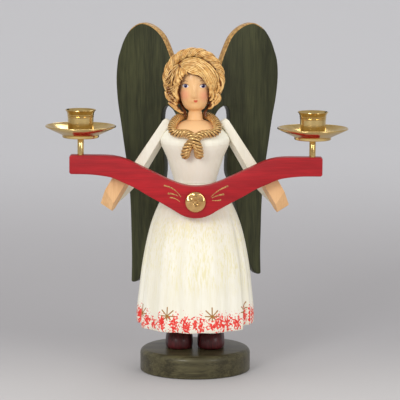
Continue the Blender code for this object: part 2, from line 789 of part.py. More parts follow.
# Bow: distance from the middle as a share of the half span, and drop or height shares.
BOW_TOP_DROP = ((0.0, 1.0), (0.10, 0.955), (0.19, 0.83), (0.28, 0.66), (0.38, 0.46),
                (0.48, 0.26), (0.57, 0.10), (0.65, 0.025), (0.72, 0.003), (0.82, 0.0),
                (1.0, 0.0))
BOW_FOOT_RISE = ((0.0, 0.0), (0.09, 0.052), (0.18, 0.215), (0.28, 0.388), (0.38, 0.540),
                 (0.47, 0.690), (0.56, 0.805), (0.66, 0.925), (0.76, 0.975), (0.86, 0.997),
                 (1.0, 1.0))


def bow_outline():
    """(x, z) round the bow, from the top middle to the right and back along the foot."""
    foot_sag = BOW_SAG + BOW_MIDDLE_HEIGHT - BOW_END_HEIGHT
    top = [(BOW_HALF_SPAN * out, BOW_TOP_Z - BOW_SAG * drop) for out, drop in BOW_TOP_DROP]
    foot = [(BOW_HALF_SPAN * out, BOW_LOW_Z + foot_sag * rise) for out, rise in BOW_FOOT_RISE]
    top = spline([(-top[1][0], top[1][1])] + top, 2)[2:]
    foot = spline([(-foot[1][0], foot[1][1])] + foot, 2)[2:]
    right = top + list(reversed(foot))
    left = [(-x, z) for x, z in reversed(right) if x > 1e-6]
    return right + left


def bow_back_y():
    """The bow rests on the skirt's front at the height of its lowest edge."""
    share = (BOW_LOW_Z - HEM_Z) / SKIRT_HEIGHT
    return -skirt_half_sizes(share)[1] - GAP


def hang_on_bow(bm):
    """Moves what is drawn on a level bow to where the tilted bow carries it."""
    pivot = Vector((0, 0, rosette_z()))
    turn = Matrix.Translation(pivot) @ Matrix.Rotation(BOW_TILT, 4, "Y") @ Matrix.Translation(-pivot)
    bmesh.ops.transform(bm, matrix=Matrix.Translation((BOW_ASIDE, 0, 0)) @ turn, verts=bm.verts)
    return bm


def make_bow(mat):
    back = bow_back_y()
    bm = board(bow_outline(), lambda x, z, y: (x, y, z),
               lambda x, z: back, lambda x, z: back - BOW_THICK)
    return piece("bow", hang_on_bow(round_rims(bm, BOW_EDGE)), mat)


def rosette_z():
    return BOW_LOW_Z + 0.55 * BOW_MIDDLE_HEIGHT


def make_rosette(mat):
    """A domed stud with a raised rim, a hollow middle and a shank, turned about its axis."""
    rim = ROSETTE_RADIUS
    dome = ROSETTE_DOME
    profile = [(0.0, -ROSETTE_SHANK_LENGTH), (ROSETTE_SHANK, -ROSETTE_SHANK_LENGTH),
               (ROSETTE_SHANK, 0.0), (rim - 0.0004, 0.0), (rim, 0.0004), (rim, 0.0012),
               (0.93 * rim, 0.56 * dome), (0.76 * rim, 0.85 * dome), (0.52 * rim, dome),
               (0.34 * rim, 0.95 * dome), (0.20 * rim, 0.78 * dome), (0.0, 0.68 * dome)]
    bm = turned(profile, ROSETTE_STEPS)
    face = bow_back_y() - BOW_THICK - GAP
    turn = Matrix.Rotation(math.pi / 2, 4, "X")
    bmesh.ops.transform(bm, matrix=Matrix.Translation((0, face, rosette_z())) @ turn, verts=bm.verts)
    return piece("rosette", hang_on_bow(bm), mat)


# Candle rods, drip dishes, cups and nuts
DISH_Z = BOW_TOP_Z + ROD_SHOWN + GAP
CUP_Z = DISH_Z + DISH_WALL + GAP
NUT_Z = CUP_Z + CUP_FLOOR + GAP


def rod_x(side):
    return side * ROD_OFFSET + ROD_ASIDE


def at_rod(bm, side):
    middle = (rod_x(side), bow_back_y() - BOW_THICK / 2, 0)
    bmesh.ops.translate(bm, vec=middle, verts=bm.verts)
    return hang_on_bow(bm)


def make_rod(name, side, mat):
    foot = BOW_TOP_Z - ROD_IN_BOW
    shoulder = BOW_TOP_Z + ROD_SHOWN
    tip = NUT_Z + NUT_HEIGHT + 0.0012
    profile = [(0.0, foot), (ROD_RADIUS - 0.0004, foot), (ROD_RADIUS, foot + 0.0004),
               (ROD_RADIUS, shoulder), (SPIGOT_RADIUS, shoulder),
               (SPIGOT_RADIUS, tip - 0.0004), (SPIGOT_RADIUS - 0.0004, tip), (0.0, tip)]
    return piece(name, at_rod(turned(profile, ROD_STEPS), side), mat)


def rod_hole(side):
    foot = BOW_TOP_Z - ROD_IN_BOW - PEG_FIT
    middle = bow_back_y() - BOW_THICK / 2
    bm = rod_between((rod_x(side), middle, foot), (rod_x(side), middle, BOW_TOP_Z + 0.01),
                     ROD_RADIUS + PEG_FIT, ROD_STEPS)
    return cutter(f"rod_hole_{side}", hang_on_bow(bm))


def make_dish(name, side, mat):
    """A spun sheet dish: a flat well with an upright wall, and a cone with a rolled rim."""
    hole = SPIGOT_RADIUS + GAP
    well = DISH_WELL_RADIUS
    floor = DISH_Z
    ledge = DISH_Z + DISH_WELL_DEPTH
    top = ledge + DISH_RISE
    wall = DISH_WALL
    roll = 0.0006
    profile = [(hole, floor), (well - 0.0006, floor), (well, floor + 0.0006), (well, ledge)]
    profile += arc((DISH_RADIUS - roll, top), roll, -math.pi / 4, math.pi * 0.8, 3)
    profile += [(well - wall, ledge + wall), (well - wall, floor + wall), (hole, floor + wall)]
    return piece(name, at_rod(turned(profile, METAL_STEPS), side), mat)


def make_cup(name, side, mat):
    """A drawn cup for a candle, with a bead under its flared lip."""
    hole = SPIGOT_RADIUS + GAP
    bore = CUP_BORE_RADIUS
    outer = bore + CUP_WALL
    top = CUP_Z + CUP_HEIGHT
    neck = top - CUP_FLARE_HEIGHT
    lip = outer + CUP_FLARE
    profile = [(hole, CUP_Z), (outer - 0.0007, CUP_Z), (outer, CUP_Z + 0.0007),
               (outer, neck - 0.0010), (outer + 0.0005, neck - 0.0004), (outer + 0.0002, neck + 0.0002),
               (outer + 0.50 * CUP_FLARE, neck + 0.66 * CUP_FLARE_HEIGHT),
               (lip, top - 0.0006), (lip - 0.0003, top),
               (outer + 0.30 * CUP_FLARE, neck + 0.70 * CUP_FLARE_HEIGHT),
               (bore, neck), (bore, CUP_Z + CUP_FLOOR), (hole, CUP_Z + CUP_FLOOR)]
    return piece(name, at_rod(turned(profile, METAL_STEPS), side), mat)


def make_nut(name, side, mat):
    inner = ring_section(SPIGOT_RADIUS + GAP, ROD_STEPS)
    across = NUT_ACROSS_FLATS / 2
    outer = [(x * reach, y * reach) for (x, y), reach in
             zip(ring_section(1.0, ROD_STEPS), (across / math.cos(math.pi / 6), across) * 6)]
    low, high = NUT_Z, NUT_Z + NUT_HEIGHT
    rings = [[(x, y, low) for x, y in outer], [(x, y, high) for x, y in outer],
             [(x, y, high) for x, y in inner], [(x, y, low) for x, y in inner]]
    return piece(name, at_rod(lofted(rings, closed=True), side), mat)


# Wings: boards whose front faces lean back from the spine. u runs outwards from the apex.
def wing_place(side):
    along = Vector((math.cos(WING_SWEEP), math.sin(WING_SWEEP), 0))
    back = Vector((-math.sin(WING_SWEEP), math.cos(WING_SWEEP), 0))

    def place(u, z, depth):
        lean = side * WING_LEAN * min(WING_LEAN_HEIGHT, max(0.0, z - NECK_Z))
        point = Vector((0, WING_APEX_Y, 0)) + along * (u + lean) + back * depth
        return Vector((side * point.x, point.y, z))

    return place


def wing_tab():
    """Where the tab starts, so that the two boards meet on the centre line behind."""
    return (WING_THICK * math.sin(WING_SWEEP) + GAP) / math.cos(WING_SWEEP)


def wing_outline(side):
    top = WING_TOP_Z
    foot = WING_FOOT_Z[side]
    tab = wing_tab()
    tab_foot = BUST_Z - 0.0190
    inner = spline(((tab, NECK_Z + 0.0130), (0.0085, NECK_Z + 0.0200), (0.0168, NECK_Z + 0.0310),
                    (0.0232, NECK_Z + 0.0440), (0.0271, top - 0.0320), (0.0300, top - 0.0250),
                    (0.0351, top - 0.0145), (0.0403, top - 0.0082), (0.0463, top - 0.0037),
                    (0.0531, top - 0.0008), (0.0600, top), (0.0665, top - 0.0025),
                    (0.0727, top - 0.0075), (0.0787, top - 0.0165), (0.0827, top - 0.0265),
                    (0.0857, top - 0.0365), (0.0869, top - 0.0530), (0.0852, top - 0.0725),
                    (0.0816, top - 0.0925), (0.0782, top - 0.1140), (0.0738, top - 0.1420),
                    (0.0712, top - 0.1680), (0.0701, top - 0.2000), (0.0697, foot + 0.0220),
                    (0.0702, foot + 0.0010)), 1)
    toe = spline(((0.0690, foot), (0.0655, foot + 0.0006), (0.0615, foot + 0.0045),
                  (0.0583, foot + 0.0120), (0.0545, foot + 0.0250), (0.0490, foot + 0.0480),
                  (0.0430, foot + 0.0690), (0.0375, foot + 0.0900), (0.0340, BUST_Z - 0.0330),
                  (0.0352, BUST_Z - 0.0120), (0.0366, BUST_Z + 0.0120),
                  (0.0363, BUST_Z + 0.0210), (0.0343, BUST_Z + 0.0262),
                  (0.0308, BUST_Z + 0.0280), (0.0268, BUST_Z + 0.0263),
                  (0.0228, BUST_Z + 0.0222), (0.0186, BUST_Z + 0.0130),
                  (0.0150, BUST_Z - 0.0010), (0.0115, tab_foot)), 1)
    return inner + toe + [(tab, tab_foot)]


def make_wing(name, side, mat):
    bm = board(wing_outline(side), wing_place(side), lambda u, z: GAP, lambda u, z: WING_THICK)
    return piece(name, round_rims(bm, WING_EDGE), mat)


def back_notch():
    """The notch planed in the bodice's back that seats the two tabs, as a cutter."""
    reach = 0.09
    slope = math.tan(WING_SWEEP) * reach
    floor = BUST_Z - 0.06
    roof = NECK_Z + 0.06
    corners = ((0.0, WING_APEX_Y), (reach, WING_APEX_Y + slope), (reach, 0.12),
               (-reach, 0.12), (-reach, WING_APEX_Y + slope))
    rings = [[(x, y, z) for x, y in corners] for z in (floor, roof)]
    return cutter("back_notch", lofted(rings))


# Assembly

def make_figure():
    dark_stain = material("dark_stain", (0.090, 0.086, 0.060), 0.55)
    shoe_red = material("shoe_red", (0.150, 0.020, 0.022), 0.40)
    white_paint = material("white_paint", (0.830, 0.810, 0.720), 0.45)
    skin_paint = material("skin_paint", (0.900, 0.610, 0.380), 0.45)
    hair_brown = material("hair_brown", (0.520, 0.290, 0.100), 0.45)
    bronze = material("bronze", (0.550, 0.380, 0.160), 0.40, 0.6)
    bow_red = material("bow_red", (0.430, 0.030, 0.040), 0.40)
    brass = material("brass", (0.820, 0.630, 0.240), 0.16, 1.0)
    wing_green = material("wing_green", (0.046, 0.050, 0.028), 0.60)
    beech = material("beech", (0.640, 0.450, 0.270), 0.60)

    base = make_base(dark_stain)
    skirt = make_skirt(white_paint)
    bodice = make_bodice(white_paint)
    for name, side in SIDES.items():
        shoe = make_shoe(f"shoe_{name}", side, shoe_red)
        leg_y = SHOE_RINGS[-1][3] * SHOE_HALF_LENGTH
        dowel(f"leg_dowel_{name}", (shoe_x(side), leg_y, BASE_HEIGHT - LEG_IN_BASE),
              (shoe_x(side), leg_y, HEM_Z + LEG_IN_SKIRT), LEG_RADIUS, beech, base, shoe, skirt)
    dowel("waist_dowel", (0, 0, WAIST_Z - WAIST_PEG_DEPTH), (0, 0, WAIST_Z + WAIST_PEG_DEPTH),
          WAIST_PEG_RADIUS, beech, skirt, bodice)

    make_head(skin_paint)
    tenon_foot = NECK_Z - TENON_LENGTH
    socket = rod_between((0, 0, tenon_foot), (0, 0, NECK_Z + 0.01), TENON_RADIUS + PEG_FIT, 12)
    cut(bodice, cutter("neck_socket", socket))
    hair = make_hair(hair_brown)
    make_braid(hair_brown)
    make_collar(bronze)

    cut(bodice, back_notch())
    bow = make_bow(bow_red)
    for name, side in SIDES.items():
        make_lock(f"hair_lock_{name}", side, hair_brown, hair)
        arm = make_arm(f"arm_{name}", side, white_paint)
        cut(bodice, shoulder_flat(side))
        place = arm_place(side)
        dowel(f"arm_dowel_{name}", place(-0.0080, 0.0, -0.0090), place(-0.0080, 0.0, 0.0050),
              ARM_PEG_RADIUS, beech, bodice, arm)
        hand = make_hand(f"hand_{name}", side, skin_paint, bow_back_y())
        middle = ARM_THICK_WRIST / 2
        dowel(f"hand_dowel_{name}", place(FOREARM_FRONT - 0.0080, 0.0600, middle),
              place(HAND_BACK + 0.0070, 0.0600, middle), HAND_PEG_RADIUS, beech, arm, hand)

        cut(bow, rod_hole(side))
        make_rod(f"candle_rod_{name}", side, brass)
        make_dish(f"drip_dish_{name}", side, brass)
        make_cup(f"candle_cup_{name}", side, brass)
        make_nut(f"cup_nut_{name}", side, brass)

        wing = make_wing(f"wing_{name}", side, wing_green)
        seat = wing_place(side)
        for level, z in (("upper", BUST_Z + 0.0030), ("lower", BUST_Z - 0.0120)):
            dowel(f"wing_dowel_{level}_{name}", seat(0.0095, z, -0.0080), seat(0.0095, z, 0.0055),
                  WING_PEG_RADIUS, beech, bodice, wing)

    front = bow_back_y() - BOW_THICK
    middle = BOW_ASIDE
    bow_peg = dowel("bow_dowel", (middle, -0.4 * BUST_RADIUS, rosette_z()),
                    (middle, front + PEG_FIT, rosette_z()), BOW_PEG_RADIUS, beech, skirt, bow)
    shank = rod_between((middle, front - 0.01, rosette_z()),
                        (middle, front - GAP + ROSETTE_SHANK_LENGTH + PEG_FIT, rosette_z()),
                        ROSETTE_SHANK + PEG_FIT)
    cut(bow_peg, cutter("shank_hole", shank))
    make_rosette(brass)


clear_scene()
make_figure()
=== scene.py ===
"""Looks of the wooden light angel: stained, painted and carved wood with brass candle cups."""
import functools
import json
import math

import bpy
from mathutils import Matrix, Vector
from mathutils.kdtree import KDTree


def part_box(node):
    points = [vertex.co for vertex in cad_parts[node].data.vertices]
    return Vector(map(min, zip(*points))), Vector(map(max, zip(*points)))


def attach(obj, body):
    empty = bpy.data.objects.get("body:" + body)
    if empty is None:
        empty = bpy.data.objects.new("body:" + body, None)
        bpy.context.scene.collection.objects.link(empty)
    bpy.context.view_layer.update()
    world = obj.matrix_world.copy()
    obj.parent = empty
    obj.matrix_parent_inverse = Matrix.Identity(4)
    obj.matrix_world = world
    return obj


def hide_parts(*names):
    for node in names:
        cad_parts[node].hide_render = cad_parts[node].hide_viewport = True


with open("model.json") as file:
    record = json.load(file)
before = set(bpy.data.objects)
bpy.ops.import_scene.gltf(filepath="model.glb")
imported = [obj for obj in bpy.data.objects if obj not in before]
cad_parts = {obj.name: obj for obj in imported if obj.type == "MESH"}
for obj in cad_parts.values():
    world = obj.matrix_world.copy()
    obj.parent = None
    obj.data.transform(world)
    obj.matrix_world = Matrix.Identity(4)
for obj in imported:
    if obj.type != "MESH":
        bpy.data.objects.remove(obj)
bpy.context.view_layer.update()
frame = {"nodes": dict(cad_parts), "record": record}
nodes = frame["nodes"]

# Photograph
PHOTO_AZIMUTH = math.radians(1.0)
PHOTO_PITCH = math.radians(8.12)
CAMERA_DISTANCE = 2.400
CAMERA_HEIGHT = 0.502
LENS = 234.8
SENSOR_WIDTH = 36.0
FRAME_SHIFT = 0.01225

# Heights and sizes, the same as the frame's
GAP = 0.0003
BASE_RADIUS = 0.0513
BASE_TOP = 0.0210
HEM_Z = 0.0425
SKIRT_HEIGHT = 0.1348
HEM_HALF_WIDTH = 0.0557
HEM_HALF_DEPTH = 0.0502
HEM_LIFT = 0.0030
SKIRT_ASIDE = 0.0007
WAIST_RADIUS = 0.0196
WAIST_Z = HEM_Z + SKIRT_HEIGHT + GAP
BUST_RADIUS = 0.0326
BUST_RISE = 0.0384
BUST_Z = WAIST_Z + BUST_RISE
SHOULDER_RISE = 0.0185
NECK_Z = BUST_Z + SHOULDER_RISE
NECK_RADIUS = 0.0069
NECK_SEAT = NECK_RADIUS + 0.0006
CHIN_Z = NECK_Z + GAP + 0.0080
HEAD_RADIUS = 0.0137
HEAD_HEIGHT = 0.0461
HAIR_HALF_WIDTH = 0.0228
HAIR_HALF_DEPTH = 0.0196
HAIR_DROP = 0.0310
HAIR_BACK = 0.0030
HAIR_MIDDLE = Vector((-0.0012, HAIR_BACK, CHIN_Z + 0.66 * HEAD_HEIGHT))
BOW_FRONT, BOW_BACK = (corner[1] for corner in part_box("bow"))

SIDES = {"left": -1, "right": 1}


def deselect():
    if bpy.context.object and bpy.context.object.mode != "OBJECT":
        bpy.ops.object.mode_set(mode="OBJECT")
    bpy.ops.object.select_all(action="DESELECT")


def placed(name, data):
    """A new object in the scene."""
    holder = bpy.data.objects.new(name, data)
    bpy.context.scene.collection.objects.link(holder)
    return holder


def clamped(value):
    return min(1.0, max(0.0, value))


# Nodes of the finishes
ORIGIN = (0.0, 0.0, 0.0)
FADING = (1.0, 0.0)   # for a band that runs from full down to nothing


def srgb(red, green, blue):
    """A colour written as the eye reads it, 0 to 255, as the linear value that a shader takes."""
    channels = []
    for value in (red, green, blue):
        share = value / 255
        channels.append(share / 12.92 if share <= 0.04045 else ((share + 0.055) / 1.055) ** 2.4)
    return (*channels, 1.0)


def add_node(tree, kind, values, **settings):
    """A shader node with its settings, and its sockets set to a value or linked to another."""
    node = tree.nodes.new(f"ShaderNode{kind}")
    for label, setting in settings.items():
        setattr(node, label, setting)
    for label, value in values.items():
        if isinstance(value, bpy.types.NodeSocket):
            tree.links.new(value, node.inputs[label])
        else:
            node.inputs[label].default_value = value
    return node


def maths(tree, operation, *values, clamp=False):
    return add_node(tree, "Math", dict(enumerate(values)), operation=operation, use_clamp=clamp).outputs[0]


def times(tree, first, second):
    return maths(tree, "MULTIPLY", first, second)


def plus(tree, first, second):
    return maths(tree, "ADD", first, second)


def minus(tree, first, second):
    return maths(tree, "SUBTRACT", first, second)


def vector_maths(tree, operation, *values, out="Vector"):
    return add_node(tree, "VectorMath", dict(enumerate(values)), operation=operation).outputs[out]


def stretched(tree, vector, scale):
    """A place with each axis scaled, so that a pattern drawn on it is stretched."""
    return vector_maths(tree, "MULTIPLY", vector, scale)


def axis_value(tree, vector, axis):
    return add_node(tree, "SeparateXYZ", {0: vector}).outputs[axis]


def highest(tree, values):
    """The greatest of several values at each place."""
    return functools.reduce(lambda one, other: maths(tree, "MAXIMUM", one, other), values)


def blend(tree, share, first, second):
    """Two colours mixed by a share."""
    return add_node(tree, "Mix", {0: share, 6: first, 7: second}, data_type="RGBA").outputs[2]


def band(tree, value, low, high, reach=(0.0, 1.0)):
    """A value run through a smooth step from low to high."""
    return add_node(tree, "MapRange", {"Value": value, "From Min": low, "From Max": high,
                                       "To Min": reach[0], "To Max": reach[1]},
                    interpolation_type="SMOOTHSTEP").outputs["Result"]


def noise(tree, vector, scale, detail=4.0, roughness=0.55):
    return add_node(tree, "TexNoise", {"Vector": vector, "Scale": scale, "Detail": detail,
                                       "Roughness": roughness}).outputs["Fac"]


# Effects that several finishes share
def effect_group(name, inputs, *outputs):
    """An empty shader node group, with named inputs and their defaults, and named outputs.

    A default of one number makes a value of an input, and three numbers make a vector."""
    group = bpy.data.node_groups.new(name, "ShaderNodeTree")
    for label, default in inputs.items():
        kind = "NodeSocketFloat" if isinstance(default, float) else "NodeSocketVector"
        group.interface.new_socket(label, in_out="INPUT", socket_type=kind).default_value = default
    for label in outputs:
        group.interface.new_socket(label, in_out="OUTPUT", socket_type="NodeSocketFloat")
    enter, leave = group.nodes.new("NodeGroupInput"), group.nodes.new("NodeGroupOutput")
    return group, enter.outputs, leave.inputs


def build_grain():
    """Fibres and pores along one axis: Place is already stretched along the fibres."""
    group, enter, leave = effect_group("wood_grain", {"Place": ORIGIN, "Fibres": 120.0, "Pores": 900.0},
                                       "Streaks", "Height")
    broad = noise(group, enter["Place"], enter["Fibres"], 3.0, 0.5)
    fine = noise(group, enter["Place"], enter["Pores"], 2.0, 0.5)
    streaks = plus(group, times(group, broad, 0.62), times(group, fine, 0.38))
    group.links.new(band(group, streaks, 0.34, 0.66), leave["Streaks"])
    group.links.new(fine, leave["Height"])
    return group


def build_spot():
    """An oval of paint seen from the front, with a soft edge."""
    group, enter, leave = effect_group(
        "painted_spot", {"Place": ORIGIN, "Middle": ORIGIN, "Reach": (1.0, 1.0, 1.0), "Soft": 0.1}, "Mask")
    away = vector_maths(group, "SUBTRACT", enter["Place"], enter["Middle"])
    shares = vector_maths(group, "DIVIDE", away, enter["Reach"])
    flat = vector_maths(group, "MULTIPLY", shares, (1.0, 0.0, 1.0))
    over = minus(group, vector_maths(group, "LENGTH", flat, out="Value"), 1.0)
    edge = maths(group, "DIVIDE", over, enter["Soft"])
    group.links.new(band(group, edge, -1.0, 1.0, FADING), leave["Mask"])
    return group


def build_stroke():
    """One brush stroke from a start along a direction, bowed to one side."""
    group, enter, leave = effect_group(
        "brush_stroke", {"Place": ORIGIN, "Start": ORIGIN, "Along": (1.0, 0.0, 0.0),
                         "Side": (0.0, 0.0, 1.0), "Bow": 0.0, "Width": 0.5}, "Mask")
    away = vector_maths(group, "SUBTRACT", enter["Place"], enter["Start"])
    along = vector_maths(group, "DOT_PRODUCT", away, enter["Along"], out="Value")
    aside = vector_maths(group, "DOT_PRODUCT", away, enter["Side"], out="Value")
    hump = times(group, times(group, along, 4.0), minus(group, 1.0, along))
    across = minus(group, aside, times(group, hump, enter["Bow"]))
    swell = times(group, enter["Width"], band(group, along, 0.0, 0.9, (1.0, 0.45)))
    share = maths(group, "DIVIDE", maths(group, "ABSOLUTE", across), swell)
    inside = band(group, share, 0.65, 1.1, FADING)
    ends = times(group, band(group, along, -0.04, 0.02), band(group, along, 0.97, 1.03, FADING))
    group.links.new(times(group, inside, ends), leave["Mask"])
    return group


def build_star():
    """A star of eight brush strokes, with the upper ones longer."""
    group, enter, leave = effect_group("painted_star", {"Across": 0.0, "Up": 0.0}, "Mask")
    across, up = enter["Across"], enter["Up"]
    turn = maths(group, "ARCTAN2", across, up)
    far = maths(group, "SQRT", plus(group, times(group, across, across), times(group, up, up)))
    eighth = math.pi / 4
    turned_on = maths(group, "FLOORED_MODULO", plus(group, turn, eighth / 2), eighth)
    off_ray = times(group, maths(group, "ABSOLUTE", minus(group, turned_on, eighth / 2)), far)
    reach = plus(group, 6.4, times(group, maths(group, "COSINE", turn), 2.2))
    ray = band(group, off_ray, 0.38, 0.66, FADING)
    length = minus(group, far, reach)
    group.links.new(times(group, ray, band(group, length, -0.4, 0.2, FADING)), leave["Mask"])
    return group


def build_dab():
    """How near a place is to the middle of one dab of the sponge: 1 there and 0 at its rim."""
    group, enter, leave = effect_group(
        "sponge_dab", {"Around": 0.0, "Up": 0.0, "Middle Around": 0.0, "Middle Up": 0.0,
                       "Half Width": 1.0, "Half Height": 1.0}, "Nearness")
    squares = []
    for value, half in (("Around", "Half Width"), ("Up", "Half Height")):
        away = minus(group, enter[value], enter[f"Middle {value}"])
        share = maths(group, "DIVIDE", away, enter[half])
        squares.append(times(group, share, share))
    far = maths(group, "SQRT", plus(group, *squares))
    group.links.new(minus(group, 1.0, far), leave["Nearness"])
    return group


GRAIN = build_grain()
SPOT = build_spot()
STROKE = build_stroke()
STAR = build_star()
DAB = build_dab()


def use_group(tree, group, **values):
    """The outputs of a group in a material's tree. Labels are written with _ for a space."""
    named = {label.replace("_", " "): value for label, value in values.items()}
    return add_node(tree, "Group", named, node_tree=group).outputs


# Finishes
PLAIN_SHINE = 0.3
UPRIGHT = (1.0, 1.0, 0.07)
ACROSS = (0.06, 1.0, 1.0)
WHITE_DARK = srgb(238, 233, 213)
WHITE_LIGHT = srgb(247, 244, 231)
WORN_WHITE = srgb(232, 223, 172)
SKIN_DARK = srgb(236, 186, 128)
SKIN_LIGHT = srgb(246, 200, 146)


def new_finish(name, roughness=0.5, coat=0.0, coat_roughness=0.15, metallic=0.0):
    """A material with its shader and the piece's own coordinates."""
    finish = bpy.data.materials.new(name)
    finish.use_nodes = True
    tree = finish.node_tree
    shader = tree.nodes["Principled BSDF"]
    for label, value in (("Roughness", roughness), ("Coat Weight", coat),
                         ("Coat Roughness", coat_roughness), ("Metallic", metallic),
                         ("Specular IOR Level", PLAIN_SHINE)):
        shader.inputs[label].default_value = value
    return finish, tree, shader, add_node(tree, "TexCoord", {}).outputs["Object"]


def coat_with(tree, shader, paint):
    tree.links.new(paint, shader.inputs["Base Color"])


def raise_surface(tree, shader, height, distance):
    bump = add_node(tree, "Bump", {"Height": height, "Distance": distance})
    tree.links.new(bump.outputs["Normal"], shader.inputs["Normal"])


def wood_tones(tree, shader, place, dark, light, along, fibres=150.0, pores=900.0, relief=0.00012):
    """The colour of wood grain under a stain or thin paint, and its relief."""
    grain = use_group(tree, GRAIN, Place=stretched(tree, place, along), Fibres=fibres, Pores=pores)
    tone = blend(tree, grain["Streaks"], dark, light)
    patch = band(tree, noise(tree, place, 26.0, 2.0), 0.35, 0.65, (0.0, 0.35))
    raise_surface(tree, shader, grain["Height"], relief)
    return blend(tree, patch, tone, dark)


def stained_wood(name, dark, light, along, fibres=150.0, pores=900.0, roughness=0.5, coat=0.0,
                 relief=0.00012):
    finish, tree, shader, place = new_finish(name, roughness, coat)
    coat_with(tree, shader, wood_tones(tree, shader, place, dark, light, along, fibres, pores, relief))
    return finish


# Dabs of the sponge along the hem of one half of the skirt: degrees from the front,
# millimetres above the hem, and half widths in the same measures.
HEM_DABS = ((-86, 8, 4, 6.5), (-76, 8, 7.5, 7.5), (-64, 3.5, 2.6, 3.0), (-56, 7.5, 4.6, 7.0),
            (-45, 7.5, 3.6, 5.0), (-34, 9, 5.0, 6.8), (-20.7, 8, 4.6, 7.0), (-8.5, 8, 5.0, 8.0),
            (0.5, 9, 2.6, 5.6), (7, 8.6, 4.0, 7.4), (16, 7.0, 4.4, 4.0), (24, 9.4, 5.4, 7.4),
            (34, 8, 6.5, 7.0), (46, 7.6, 5.6, 7.0), (56, 9, 1.8, 8), (61.5, 9.6, 1.8, 8.5),
            (67, 10, 1.8, 8.5), (74, 9, 2.0, 8), (83, 8, 3.4, 6.5))
HEM_STARS = ((-64, 14.4), (-28, 15.4), (17.0, 15.8), (58, 16.6))   # degrees and millimetres up
HEM_RADIUS_MM = 52.0
HEM_RED = srgb(228, 46, 40)
HEM_RED_PALE = srgb(242, 92, 80)
STAR_GOLD = srgb(164, 112, 42)
SPONGE_HOLES = 5.6


def painted_skirt():
    """White paint worn in streaks, with sponge dabs and gold stars along the hem."""
    finish, tree, shader, place = new_finish("painted_skirt_cloth", 0.5, 0.12)
    paint = wood_tones(tree, shader, place, WHITE_DARK, WHITE_LIGHT, UPRIGHT, 90.0, 700.0, 0.00005)
    own = add_node(tree, "UVMap", {}, uv_map="round_and_up").outputs[0]
    turn = minus(tree, times(tree, axis_value(tree, own, "X"), 360.0), 180.0)
    up = times(tree, axis_value(tree, own, "Y"), 1000 * SKIRT_HEIGHT)

    brush = noise(tree, stretched(tree, place, (1.0, 1.0, 0.035)), 900.0, 3.0, 0.6)
    broken = noise(tree, stretched(tree, place, (1.0, 1.0, 0.4)), 70.0, 3.0, 0.6)
    worn = plus(tree, times(tree, brush, 0.72), times(tree, broken, 0.28))
    reach = times(tree, band(tree, up, 26.0, 52.0), band(tree, up, 96.0, 116.0, FADING))
    streak = times(tree, band(tree, worn, 0.50, 0.60), reach)
    paint = blend(tree, times(tree, streak, 0.75), paint, WORN_WHITE)

    half_turn = minus(tree, maths(tree, "FLOORED_MODULO", plus(tree, turn, 90.0), 180.0), 90.0)
    nearest = highest(tree, [
        use_group(tree, DAB, Around=half_turn, Up=up, Middle_Around=middle, Middle_Up=height,
                  Half_Width=half_width, Half_Height=half_height)[0]
        for middle, height, half_width, half_height in HEM_DABS])
    sponge = times(tree, minus(tree, noise(tree, place, 500.0, 2.0, 0.6), 0.5), SPONGE_HOLES)
    red = band(tree, plus(tree, maths(tree, "MAXIMUM", nearest, -1.3), sponge), 0.10, 0.20)
    tint = blend(tree, band(tree, noise(tree, place, 380.0, 2.0), 0.42, 0.62), HEM_RED, HEM_RED_PALE)
    low = band(tree, up, 20.0, 23.0, FADING)
    paint = blend(tree, times(tree, red, low), paint, tint)

    for middle, height in HEM_STARS:
        across = times(tree, minus(tree, half_turn, middle), HEM_RADIUS_MM * math.pi / 180)
        star = use_group(tree, STAR, Across=across, Up=minus(tree, up, height))[0]
        paint = blend(tree, star, paint, STAR_GOLD)
    coat_with(tree, shader, paint)
    return finish


CHEST_Z = 0.2195        # the lowest skin inside the rope
NECKLINE_CURVE = 17.0   # how fast that line rises towards the shoulders
NAPE_DROP = 0.012       # how much lower it lies behind


def painted_bodice():
    """White paint, a lighter copy of the skirt's and sleeves' white as painted light against the shade of
    the arms and bow, with the skin painted inside the rope.
    """
    finish, tree, shader, place = new_finish("painted_bodice_cloth", 0.48, 0.12)
    # painted light: this white is lighter than the same paint on the skirt and sleeves, to offset the
    # shade of the arms and bow
    white = wood_tones(tree, shader, place, srgb(252, 249, 229), srgb(255, 254, 240), UPRIGHT, 60.0,
                       600.0, 0.00003)
    x, y, z = (axis_value(tree, place, axis) for axis in "XYZ")
    neckline = plus(tree, CHEST_Z, times(tree, times(tree, x, x), NECKLINE_CURVE))
    behind = band(tree, y, -0.006, 0.004, (0.0, NAPE_DROP))
    over = minus(tree, minus(tree, z, neckline), behind)
    coat_with(tree, shader, blend(tree, band(tree, over, -0.0003, 0.0003), white, SKIN_LIGHT))
    return finish


def stroke(tree, place, start, end, bow, width):
    """A stroke between two places seen from the front, (across, up) in metres."""
    run = Vector((end[0] - start[0], 0, end[1] - start[1]))
    along = run / run.length_squared
    side = Vector((-run.z, 0, run.x)).normalized()
    return use_group(tree, STROKE, Place=place, Start=(start[0], 0, start[1]), Along=tuple(along),
                     Side=tuple(side), Bow=bow, Width=width)[0]


# Places on the face, across and up: eyes, cheeks, lips, and the brows from start to end.
EYES = ((-0.0088, 0.2670), (0.0075, 0.2669))
CHEEKS = ((-0.0102, 0.2588), (0.0092, 0.2580))
LIPS = (0.0008, 0.2531)
BROWS = (((-0.0108, 0.2713), (-0.0064, 0.2711)), ((0.0045, 0.2717), (0.0088, 0.2708)))
BLUSH = srgb(238, 140, 116)
# painted shade beside and under the nose
PAINTED_SHADE_BESIDE_NOSE = srgb(206, 148, 98)
PAINTED_SHADE_UNDER_NOSE = srgb(198, 132, 86)
